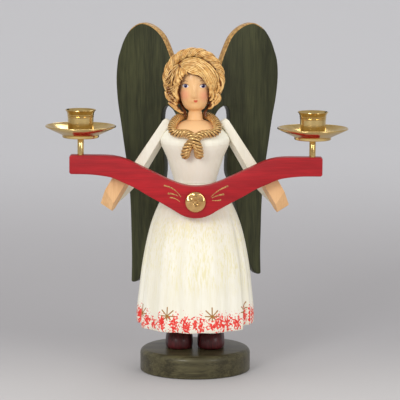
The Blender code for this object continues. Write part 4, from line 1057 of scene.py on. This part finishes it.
# Curls at the ends of the locks, in the same measures, each with its thickness.
CURLS = (((-18.4, -12.6), (-16.4, -15.4), (-14.8, -17.6), (-14.6, -21.0), 2.1),
         ((-21.4, -15.6), (-18.6, -18.2), (-16.0, -20.6), (-14.8, -24.2), 2.1),
         ((-24.0, -18.0), (-21.0, -20.8), (-17.8, -23.4), (-15.4, -26.6), 2.0),
         ((-23.0, -22.2), (-19.6, -24.8), (-16.2, -27.2), (-12.8, -29.4), 1.9),
         ((-19.4, -26.2), (-16.0, -28.4), (-12.6, -30.6), (-9.2, -32.0), 1.6),
         ((-25.6, -12.0), (-24.4, -15.8), (-22.6, -18.8), (-20.0, -20.6), 2.0),
         ((-14.6, -9.6), (-15.4, -12.8), (-14.6, -15.8), (-13.6, -18.4), 1.5),
         ((15.0, -11.0), (17.0, -14.6), (16.4, -18.0), (14.4, -20.8), 1.9),
         ((18.6, -12.0), (20.8, -16.2), (19.2, -20.0), (16.2, -22.8), 2.1),
         ((21.8, -14.0), (23.2, -18.4), (21.0, -22.0), (17.8, -25.0), 2.1),
         ((14.6, -8.0), (15.4, -11.4), (14.9, -15.0), (14.3, -17.4), 1.4),
         ((21.4, -3.6), (23.0, -7.4), (22.4, -11.2), (20.0, -14.2), 1.8),
         ((23.4, 0.6), (25.6, -4.2), (25.4, -8.8), (23.4, -13.0), 1.8),
         ((16.0, -20.0), (17.2, -24.0), (15.6, -26.8), (13.0, -27.8), 1.8))
LOCK_POINTS = 34
LOCK_FULLNESS = 0.6     # a lock's radius as a share of its distance from the next one
CURL_POINTS = 14
CURL_FULLNESS = 1.22
BACK_LOCKS = 30
BACK_LOCK_SPREAD = 98   # degrees to each side of the back
# The face's edge against the hair, in the same measures.
FACE_MIDDLE = (0.2, -14.0)
FACE_OPENING_BACK = 0.0035
FACE_EDGE = ((-12.4, -2.0), (-13.9, -7.0), (-14.5, -12.0), (-14.2, -17.0), (-13.6, -22.0),
             (-11.8, -26.6), (-9.0, -31.0), (-4.0, -34.0), (0.2, -35.0), (5.0, -34.0),
             (9.6, -30.4), (12.4, -25.6), (13.8, -20.6), (14.3, -15.0), (13.4, -10.0),
             (11.2, -6.0), (8.0, -2.4), (4.0, 0.4), (0.0, 2.0), (-4.6, 3.0), (-9.6, 2.0))


def hair_shell(x, z):
    """How far ahead of its middle the hair reaches at a place across and up, in mm."""
    high = 1000 * (CAP_RISE if z > 0 else HAIR_DROP)
    left = 1 - (x / (1000 * HAIR_HALF_WIDTH)) ** 2 - (z / high) ** 2
    return max(1000 * HAIR_HALF_DEPTH * math.sqrt(max(0.0, left)), BRAID_FRONT)


def on_hair(across, up, lift):
    """A point on the front of the hair, from its place as seen from the front in mm."""
    y = -1000 * HAIR_HALF_DEPTH
    for _ in range(5):
        z = up - VIEW_SLOPE * (y + 1000 * HAIR_BACK)
        y = -hair_shell(across, z)
    out = Vector((across / (1000 * HAIR_HALF_WIDTH) ** 2,
                  min(y, -LEAST_AHEAD) / (1000 * HAIR_HALF_DEPTH) ** 2,
                  z / (1000 * HAIR_DROP) ** 2)).normalized()
    return HAIR_MIDDLE + Vector((across, y, z)) / 1000 + out * lift, out


def even_line(points, count):
    """The line through the points, as evenly spaced ones."""
    fine = [Vector(point) for point in spline(points, 16)]
    lengths = [0.0]
    for start, end in zip(fine, fine[1:]):
        lengths.append(lengths[-1] + (end - start).length)
    line = []
    j = 0
    for i in range(count):
        wanted = lengths[-1] * i / (count - 1)
        while j < len(lengths) - 2 and lengths[j + 1] < wanted:
            j += 1
        part = (wanted - lengths[j]) / (lengths[j + 1] - lengths[j])
        line.append(fine[j].lerp(fine[j + 1], min(1.0, part)))
    return line


def lock_share(part):
    """A lock swells from its root and draws out to a point."""
    tip = 1.0 if part < 0.8 else 1.0 - 0.7 * (part - 0.8) / 0.2
    return (0.75 + 0.25 * min(1.0, part / 0.2)) * tip


def curl_share(part):
    return math.sqrt(max(0.1, math.sin(math.pi * (0.08 + 0.84 * part))))


def face_edge_share(across, up):
    """How far a place is from the face's middle, where 1 is the face's edge."""
    x, y = across - FACE_MIDDLE[0], up - FACE_MIDDLE[1]
    angle = math.atan2(y, x)
    corners = sorted((math.atan2(v - FACE_MIDDLE[1], u - FACE_MIDDLE[0]),
                      math.hypot(u - FACE_MIDDLE[0], v - FACE_MIDDLE[1])) for u, v in FACE_EDGE)
    corners = [(corners[-1][0] - 2 * math.pi, corners[-1][1])] + corners
    corners.append((corners[1][0] + 2 * math.pi, corners[1][1]))
    return math.hypot(x, y) / read_curve(corners, angle)


def crown_height(ahead):
    """How high or low the hair reaches in a direction: its back stands higher than its front."""
    back = clamped(ahead.y / 0.5)
    return CAP_RISE + (CAP_BACK_RISE - CAP_RISE) * back if ahead.z > 0 else HAIR_DROP


def shape_cap():
    """The block of hair under the locks, hollowed to take the face. It has no ridge note, so it is painted
    all over in the shade colour of the hollows, a painted shade between the locks.
    """
    deselect()
    bpy.ops.mesh.primitive_uv_sphere_add(segments=120, ring_count=80,
                                         radius=HAIR_HALF_WIDTH - 0.0004, location=HAIR_MIDDLE)
    piece = bpy.context.object
    piece.name = "hair_block"
    settle(piece)
    for vert in piece.data.vertices:
        away = (vert.co - HAIR_MIDDLE) / HAIR_HALF_WIDTH
        x, y, z = away.x * HAIR_HALF_WIDTH, away.y * HAIR_HALF_DEPTH, away.z * crown_height(away)
        if y < 0:
            up = 1000 * z + VIEW_SLOPE * 1000 * (y + HAIR_BACK)
            share = face_edge_share(1000 * x, up)
            if share < 1.0:
                y += (FACE_OPENING_BACK - y) * min(1.0, (1.0 - share) / 0.06)
        vert.co = HAIR_MIDDLE + Vector((x, y, z))
    return done(piece, HAIR_FINISH, "hair_brown", "hair", angle=60)


def shape_hair():
    lines = []
    spines = []

    def add_lock(places, thick, share_at, bright):
        line = []
        for i, (place, out) in enumerate(places):
            share = thick[i] * share_at(i / (len(places) - 1))
            line.append((place, share))
            spines.append((place, out, LOCK_RADIUS * share, bright))
        lines.append(line)

    for first, last, count, wave, bright in FAMILIES:
        start = even_line(GUIDES[first], LOCK_POINTS)
        end = even_line(GUIDES[last], LOCK_POINTS)
        for k in range(count):
            side = (k + 0.5) / count
            places = []
            widths = []
            for i in range(LOCK_POINTS):
                part = i / (LOCK_POINTS - 1)
                flat = start[i].lerp(end[i], side)
                sway = wave * part * math.sin(4.2 * math.pi * part + 1.9 * k)
                lift = 0.0002 + 0.0003 * math.sin(2.3 * k + 3.0 * math.pi * part)
                places.append(on_hair(flat.x + sway, flat.y + 0.4 * sway, lift))
                widths.append(max(0.45, (start[i] - end[i]).length / count))
            thick = [LOCK_FULLNESS * width / (1000 * LOCK_RADIUS) for width in widths]
            add_lock(places, thick, lock_share, bright)
    for *points, thick in CURLS:
        places = [on_hair(point.x, point.y, 0.0004) for point in even_line(points, CURL_POINTS)]
        # a little painted shade on the curls
        add_lock(places, [CURL_FULLNESS * thick] * CURL_POINTS, curl_share, 0.92)
    for k in range(BACK_LOCKS):
        turn = math.radians(BACK_LOCK_SPREAD * (2 * k / (BACK_LOCKS - 1) - 1))
        places = []
        for i in range(LOCK_POINTS):
            part = i / (LOCK_POINTS - 1)
            polar = math.radians(20 + 122 * part)
            swing = turn + 0.10 * math.sin(4 * math.pi * part + 1.7 * k) * part
            ahead = Vector((math.sin(polar) * math.sin(swing), math.sin(polar) * math.cos(swing),
                            math.cos(polar)))
            place = HAIR_MIDDLE + Vector((ahead.x * HAIR_HALF_WIDTH, ahead.y * HAIR_HALF_DEPTH,
                                          ahead.z * crown_height(ahead)))
            places.append((place, ahead))
        # a little painted shade on the locks at the back
        add_lock(places, [1.5] * LOCK_POINTS, lock_share, 0.95)
    piece = strands("carved_locks", lines, LOCK_RADIUS)
    mark_ridge_shade(piece, spines)
    return done(piece, HAIR_FINISH, "hair_brown", angle=70)


# Braid
BRAID_SWEEP = math.radians(148)
BRAID_LEAN = math.radians(1)
BRAID_STEPS = 144
BRAID_TOP_REACH = 0.0233
BRAID_SIDE_REACH = 0.0242
BRAID_PITCH = 0.0255
BRAID_LOBE_REACH = 0.0023
BRAID_LOBE_RADIUS = 0.0019
BRAID_LOBE_FLATNESS = 1.3
BRAID_STRAND = 0.00078
BRAID_FIBRES = 8
BRAID_FILLING = BRAID_LOBE_RADIUS * 1.12 / BRAID_STRAND


def braid_share(part):
    ends = min(part, 1 - part)
    return min(1.0, 0.35 + 0.65 * math.sqrt(min(1.0, ends / 0.09)))


def shape_braid():
    lean = Matrix.Rotation(-BRAID_LEAN, 3, "X")
    path = []
    frames = []
    for step in range(BRAID_STEPS + 1):
        angle = -BRAID_SWEEP + 2 * BRAID_SWEEP * step / BRAID_STEPS
        lower = min(1.0, 1 - math.cos(angle))
        reach = BRAID_TOP_REACH + (BRAID_SIDE_REACH - BRAID_TOP_REACH) * lower
        out = lean @ Vector((math.sin(angle), 0.0, math.cos(angle)))
        path.append(HAIR_MIDDLE + out * reach)
        frames.append((out, lean @ Vector((0, 1, 0))))
    lines = []
    spines = []
    for lobe in laid_strands(path, frames, BRAID_PITCH, 3, BRAID_LOBE_REACH, braid_share):
        for k in range(BRAID_FIBRES):
            turn = 2 * math.pi * k / BRAID_FIBRES
            line = []
            for i, (place, part) in enumerate(lobe):
                away = (place - path[i]).normalized()
                along = (path[min(i + 1, BRAID_STEPS)] - path[max(i - 1, 0)]).normalized()
                side = along.cross(away)
                off = away * math.cos(turn) + side * math.sin(turn) * BRAID_LOBE_FLATNESS
                spot = place + off * BRAID_LOBE_RADIUS * part
                line.append((spot, part))
                # fibres on the inner side of a lobe are dimmer, a painted shade between the lobes
                deep = ((spot - path[i]).length / part - BRAID_LOBE_REACH) / BRAID_LOBE_RADIUS
                spines.append((spot, (spot - path[i]).normalized(), BRAID_STRAND * part,
                               min(1.0, max(0.1, 0.45 + 0.6 * deep))))
            lines.append(line)
        lines.append([(place, BRAID_FILLING * part) for place, part in lobe])
    piece = strands("plaited_crown", lines, BRAID_STRAND)
    mark_ridge_shade(piece, spines)
    return done(piece, HAIR_FINISH, "hair_brown", "braid_crown", angle=70)


# Bow: distance from the middle as a share of the half span, and drop or height shares.
BOW_TOP_DROP = ((0.0, 1.0), (0.10, 0.955), (0.19, 0.83), (0.28, 0.66), (0.38, 0.46),
                (0.48, 0.26), (0.57, 0.10), (0.65, 0.025), (0.72, 0.003), (0.82, 0.0),
                (1.0, 0.0))
BOW_FOOT_RISE = ((0.0, 0.04), (0.09, 0.086), (0.18, 0.228), (0.28, 0.388), (0.38, 0.540),
                 (0.47, 0.690), (0.56, 0.805), (0.66, 0.925), (0.76, 0.975), (0.86, 0.997),
                 (1.0, 1.0))
BOW_HALF_SPAN = 0.1152
BOW_THICK = 0.0120
BOW_CORNER = 0.0014
BOW_ASIDE = 0.0012
BOW_TILT = math.radians(0.45)
BOW_SAG = 0.0276
BOW_MIDDLE_HEIGHT = 0.0308
BOW_END_HEIGHT = 0.0172
BOW_TOP_Z = WAIST_Z + 0.0285
BOW_LOW_Z = BOW_TOP_Z - BOW_SAG - BOW_MIDDLE_HEIGHT
ROSETTE_Z = BOW_LOW_Z + 0.55 * BOW_MIDDLE_HEIGHT
BOW_MIDDLE_Y = BOW_BACK - BOW_THICK / 2


def hung():
    """Carries what is drawn on a level bow to where the tilted bow has it."""
    return (Matrix.Translation((BOW_ASIDE, 0, ROSETTE_Z)) @ Matrix.Rotation(BOW_TILT, 4, "Y")
            @ Matrix.Translation((0, 0, -ROSETTE_Z)))


def shape_bow():
    foot_sag = BOW_SAG + BOW_MIDDLE_HEIGHT - BOW_END_HEIGHT
    top = [(BOW_HALF_SPAN * out, BOW_TOP_Z - BOW_SAG * drop) for out, drop in BOW_TOP_DROP]
    foot = [(BOW_HALF_SPAN * out, BOW_LOW_Z + foot_sag * rise) for out, rise in BOW_FOOT_RISE]
    top = spline([(-top[1][0], top[1][1])] + top, 5)[5:]
    foot = spline([(-foot[1][0], foot[1][1])] + foot, 5)[5:]
    corner = BOW_CORNER
    top[-1] = (BOW_HALF_SPAN - corner, top[-1][1])
    foot[-1] = (BOW_HALF_SPAN - corner, foot[-1][1])
    end = [(BOW_HALF_SPAN, BOW_TOP_Z - corner),
           (BOW_HALF_SPAN, BOW_TOP_Z - BOW_END_HEIGHT + corner)]
    right = top + end + list(reversed(foot))
    left = [(-x, z) for x, z in reversed(right) if x > 1e-6]
    piece = board("curved_bow", right + left, BOW_THICK, 0.0008)
    stand = Matrix.Translation((0, BOW_MIDDLE_Y, 0)) @ Matrix.Rotation(math.pi / 2, 4, "X")
    shift(piece, hung() @ stand)
    return done(piece, BOW_FINISH, "bow_red", "bow")


# Rosette: shares of its radius and of its height, and how deep it is pressed in.
ROSETTE_CURVE = ((0.985, 0.42), (0.94, 0.60), (0.87, 0.74), (0.78, 0.85), (0.68, 0.93), (0.57, 0.98),
                 (0.46, 1.0), (0.36, 0.97), (0.28, 0.88), (0.20, 0.70), (0.12, 0.52), (0.06, 0.46))
ROSETTE_PRESS = 0.0011


def shape_rosette():
    """A domed brass stud, pressed in at four places and pitted in its middle."""
    rim, dome = 0.0096, 0.0036
    shank = [(0.0016, -0.0090), (0.0016, -0.0002)]
    foot = [(rim - 0.0005, 0.0), (rim - 0.0001, 0.0003), (rim, 0.0009)]
    rounds = [(out * rim, up * dome) for out, up in ROSETTE_CURVE]
    piece = turned("pressed_rosette", shank + foot + rounds, 72)
    for vert in piece.data.vertices:
        x, y, z = vert.co
        share = math.hypot(x, y) / rim
        if z > 0.3 * dome:
            pressed = 0.5 + 0.5 * math.cos(4 * (math.atan2(y, x) - math.radians(45)))
            near = math.exp(-((share - 0.62) / 0.24) ** 2)
            vert.co.z -= ROSETTE_PRESS * pressed ** 1.5 * near
    stand = Matrix.Translation((0, BOW_MIDDLE_Y - BOW_THICK / 2 - GAP, ROSETTE_Z))
    shift(piece, hung() @ stand @ Matrix.Rotation(math.pi / 2, 4, "X"))
    return done(piece, ROSETTE_FINISH, "brass", "rosette", angle=60)


# Candle rods, dishes and cups
ROD_RADIUS = 0.0029
ROD_RISE = 0.0156
ROD_SPREAD = 0.1056     # from the bow's middle
ROD_ASIDE = 0.0004
PIN_RADIUS = 0.0021     # the holes that the rods' upper ends pass through
DISH_WALL = 0.0007
DISH_Z = BOW_TOP_Z + ROD_RISE + GAP
CUP_Z = DISH_Z + DISH_WALL + GAP
CUP_HEIGHT = 0.0246
CUP_FLOOR = 0.0010
CUP_RINGS = (0.0014, 0.0176)


def shape_rod():
    return turned("brass_rod", [(ROD_RADIUS - 0.0004, BOW_TOP_Z - 0.0118),
                                (ROD_RADIUS, BOW_TOP_Z - 0.0114), (ROD_RADIUS, BOW_TOP_Z + 0.0002),
                                (ROD_RADIUS, DISH_Z - GAP - 0.0004),
                                (ROD_RADIUS - 0.0003, DISH_Z - GAP)], 40)


def shape_dish():
    well, ledge, rim = 0.0168, DISH_Z + 0.0027, 0.0323
    top = ledge + 0.0076
    profile = [(PIN_RADIUS, DISH_Z)] + arc((well - 0.0010, DISH_Z + 0.0010), 0.0010, -math.pi / 2, 0, 3)
    profile += [(well, ledge - 0.0004), (well + 0.0006, ledge + 0.0001),
                (0.5 * (well + rim), ledge + 0.0034)]
    profile += arc((rim - 0.0007, top), 0.0007, -math.pi / 4, math.pi * 0.8, 8)
    profile += [(rim - 0.0026, top - 0.0007), (0.5 * (well + rim), ledge + 0.0042),
                (well, ledge + 0.0008), (well - 0.0008, ledge + 0.0003),
                (well - 0.0009, DISH_Z + 0.0010), (PIN_RADIUS, DISH_Z + DISH_WALL)]
    return turned("spun_dish", profile, 96)


def shape_cup():
    bore, outer = 0.0111, 0.0117
    top = CUP_Z + CUP_HEIGHT
    neck = top - 0.0044
    profile = [(PIN_RADIUS, CUP_Z)] + arc((outer - 0.0010, CUP_Z + 0.0010), 0.0010, -math.pi / 2, 0, 3)
    for ring_z in CUP_RINGS:
        low = CUP_Z + ring_z
        profile += [(outer, low), (outer + 0.00035, low + 0.0004), (outer + 0.00035, low + 0.0009),
                    (outer, low + 0.0013)]
    profile += [(outer, neck - 0.0012), (outer + 0.0006, neck - 0.0005), (outer + 0.0003, neck + 0.0002),
                (outer + 0.0010, neck + 0.0024), (outer + 0.0017, neck + 0.0036)]
    profile += arc((outer + 0.0019, top - 0.0004), 0.0004, -math.pi / 4, math.pi * 0.9, 5)
    profile += [(outer + 0.0006, neck + 0.0028), (bore, neck), (bore, CUP_Z + 0.0014),
                (bore - 0.0004, CUP_Z + CUP_FLOOR), (PIN_RADIUS, CUP_Z + CUP_FLOOR)]
    return turned("drawn_cup", profile, 72)


def on_both_rods(model, nodes_stem):
    """Copies a model that is turned about the upright axis to both rods."""
    for side_name, side in SIDES.items():
        copy = placed(f"{model.name}_{side_name}", model.data.copy())
        shift(copy, hung() @ Matrix.Translation((side * ROD_SPREAD + ROD_ASIDE, BOW_MIDDLE_Y, 0)))
        done(copy, BRASS_FINISH, "brass", f"{nodes_stem}_{side_name}", angle=40)
    bpy.data.objects.remove(model)


# Wings: boards whose front faces lean back from the spine.
WING_SWEEP = math.radians(28)
WING_THICK = 0.0086
WING_APEX_Y = 0.0176
WING_TOP = 0.3208
WING_FOOT = {-1: 0.0735, 1: 0.0815}
WING_EDGE = 0.0010
WING_LEAN = 0.030       # how much further out one wing stands for its height over the neck
WING_LEAN_TOP = 0.045


def wing_outline(side):
    top, foot = WING_TOP, WING_FOOT[side]
    tab = (WING_THICK * math.sin(WING_SWEEP) + GAP) / math.cos(WING_SWEEP)
    tab_foot = BUST_Z - 0.0190
    inner = spline(((tab, NECK_Z + 0.0130), (0.0085, NECK_Z + 0.0200), (0.0168, NECK_Z + 0.0310),
                    (0.0232, NECK_Z + 0.0440), (0.0271, top - 0.0320), (0.0300, top - 0.0250),
                    (0.0351, top - 0.0145), (0.0403, top - 0.0082), (0.0463, top - 0.0037),
                    (0.0531, top - 0.0008), (0.0600, top), (0.0665, top - 0.0025),
                    (0.0727, top - 0.0075), (0.0787, top - 0.0165), (0.0827, top - 0.0265),
                    (0.0857, top - 0.0365), (0.0869, top - 0.0530), (0.0852, top - 0.0725),
                    (0.0816, top - 0.0925), (0.0782, top - 0.1140), (0.0738, top - 0.1420),
                    (0.0712, top - 0.1680), (0.0701, top - 0.2000), (0.0697, foot + 0.0220),
                    (0.0702, foot + 0.0010)), 4)
    toe = spline(((0.0690, foot), (0.0655, foot + 0.0006), (0.0615, foot + 0.0045),
                  (0.0583, foot + 0.0120), (0.0545, foot + 0.0250), (0.0490, foot + 0.0480),
                  (0.0430, foot + 0.0690), (0.0375, foot + 0.0900), (0.0340, BUST_Z - 0.0330),
                  (0.0352, BUST_Z - 0.0120), (0.0366, BUST_Z + 0.0120),
                  (0.0363, BUST_Z + 0.0210), (0.0343, BUST_Z + 0.0262),
                  (0.0308, BUST_Z + 0.0280), (0.0268, BUST_Z + 0.0263),
                  (0.0228, BUST_Z + 0.0222), (0.0186, BUST_Z + 0.0130),
                  (0.0150, BUST_Z - 0.0010), (0.0115, tab_foot)), 4)
    outline = inner + toe + [(tab, tab_foot)]
    return [(u + side * WING_LEAN * min(WING_LEAN_TOP, max(0.0, z - NECK_Z)), z) for u, z in outline]


def shape_wing(name, side):
    piece = board(f"sawn_wing_{name}", wing_outline(side), WING_THICK - GAP, WING_EDGE)
    mesh = piece.data
    mesh.materials.append(WING_FINISH)
    mesh.materials.append(WING_RIM_FINISH)
    for face in mesh.polygons:
        face.material_index = 1 if abs(face.normal.z) < 0.97 else 0
    along = Vector((side * math.cos(WING_SWEEP), math.sin(WING_SWEEP), 0))
    back = Vector((-side * math.sin(WING_SWEEP), math.cos(WING_SWEEP), 0))
    start = Vector((0, WING_APEX_Y, 0)) + back * (WING_THICK + GAP) / 2
    place = Matrix.Identity(4)
    for column, axis in enumerate((along, Vector((0, 0, 1)), back, start)):
        for row in range(3):
            place[row][column] = axis[row]
    shift(piece, place)
    return done(piece, WING_FINISH, "wing_green", f"wing_{name}", angle=50)


# Pieces, in the order of building
shape_base()
shape_shoe("shoe_left")
shape_shoe("shoe_right")
shape_skirt()
shape_rope()
shape_head()
shape_cap()
shape_hair()
shape_braid()
shape_bow()
shape_rosette()
on_both_rods(shape_rod(), "candle_rod")
on_both_rods(shape_dish(), "drip_dish")
on_both_rods(shape_cup(), "candle_cup")
for side_name, side in SIDES.items():
    shape_wing(side_name, side)


# Floor, backdrop, light and camera
FLOOR_SIZE = 8.0
BACKDROP_Y = 3.0
BACKDROP_HEIGHT = 4.0
BEND_WIDTH = 1.2
FLOOR_FRONT = srgb(193, 191, 191)
# painted shade on the floor behind the angel, and painted light on the backdrop
FLOOR_BACK_PAINTED_SHADE = srgb(167, 165, 167)
BACKDROP_PAINTED_LIGHT = srgb(200, 200, 203)
SKY_STRENGTH = 0.90
MIRRORED_SKY = 0.44
LIT_PLACE = (0.0, 0.0, 0.16)
# Lamps: place, width and power in watts.
LAMPS = {
    "key_lamp": ((-0.9, -1.9, 1.1), 0.7, 15.6),
    "fill_lamp": ((1.3, -1.5, 0.8), 0.7, 6.5),
    "back_lamp": ((0.2, 1.6, 1.9), 1.0, 8.0),
}


def lay_floor():
    """A pale sweep: a plane drawn up behind the angel, with a rounded bend. Its colour holds painted shade
    on the floor behind the angel and painted light up the backdrop.
    """
    deselect()
    bpy.ops.mesh.primitive_plane_add(size=FLOOR_SIZE, location=(0, BACKDROP_Y - FLOOR_SIZE / 2, 0))
    floor = bpy.context.object
    floor.name = "pale_sweep"
    settle(floor)
    bpy.ops.object.mode_set(mode="EDIT")
    bpy.ops.mesh.select_mode(type="EDGE")
    bpy.ops.mesh.select_all(action="DESELECT")
    bpy.ops.object.mode_set(mode="OBJECT")
    for edge in floor.data.edges:
        edge.select = all(floor.data.vertices[v].co.y > 0.9 * BACKDROP_Y for v in edge.vertices)
    bpy.ops.object.mode_set(mode="EDIT")
    bpy.ops.mesh.extrude_region_move(TRANSFORM_OT_translate={"value": (0, 0, BACKDROP_HEIGHT)})
    bpy.ops.object.mode_set(mode="OBJECT")
    bend = floor.modifiers.new("bend", "BEVEL")
    bend.width = BEND_WIDTH
    bend.segments = 16
    bend.limit_method = "ANGLE"
    bpy.ops.object.modifier_apply(modifier="bend")
    bpy.ops.object.shade_smooth()
    finish, tree, shader, place = new_finish("pale_paper", 0.9)
    y = axis_value(tree, place, "Y")
    # painted shade on the floor behind the angel, then painted light up the backdrop
    shaded = blend(tree, band(tree, y, -0.15, 0.2), FLOOR_FRONT, FLOOR_BACK_PAINTED_SHADE)
    coat_with(tree, shader, blend(tree, band(tree, y, 0.3, 1.9), shaded, BACKDROP_PAINTED_LIGHT))
    floor.data.materials.append(finish)


def add_lamp(name, place, size, power):
    lamp = bpy.data.lights.new(name, "AREA")
    lamp.shape = "DISK"
    lamp.size = size
    lamp.energy = power
    holder = placed(name, lamp)
    holder.location = place
    holder.rotation_euler = (Vector(LIT_PLACE) - Vector(place)).to_track_quat("-Z", "Y").to_euler()


def light_studio():
    world = bpy.data.worlds.new("studio")
    bpy.context.scene.world = world
    world.use_nodes = True
    sky = world.node_tree
    background = sky.nodes["Background"].inputs
    background["Color"].default_value = (1.0, 0.99, 0.98, 1.0)
    mirrored = add_node(sky, "LightPath", {}).outputs["Is Glossy Ray"]
    sky.links.new(band(sky, mirrored, 0.0, 1.0, (SKY_STRENGTH, MIRRORED_SKY)), background["Strength"])
    for name, (place, size, power) in LAMPS.items():
        add_lamp(name, place, size, power)


def place_camera():
    camera = bpy.data.cameras.new("photo_camera")
    camera.lens = LENS
    camera.sensor_width = SENSOR_WIDTH
    camera.shift_x = FRAME_SHIFT
    holder = placed("photo_camera", camera)
    holder.location = (CAMERA_DISTANCE * math.sin(PHOTO_AZIMUTH),
                       -CAMERA_DISTANCE * math.cos(PHOTO_AZIMUTH), CAMERA_HEIGHT)
    holder.rotation_euler = (math.pi / 2 - PHOTO_PITCH, 0.0, PHOTO_AZIMUTH)
    bpy.context.scene.camera = holder


lay_floor()
light_studio()
place_camera()
bpy.context.scene.view_settings.view_transform = "Standard"
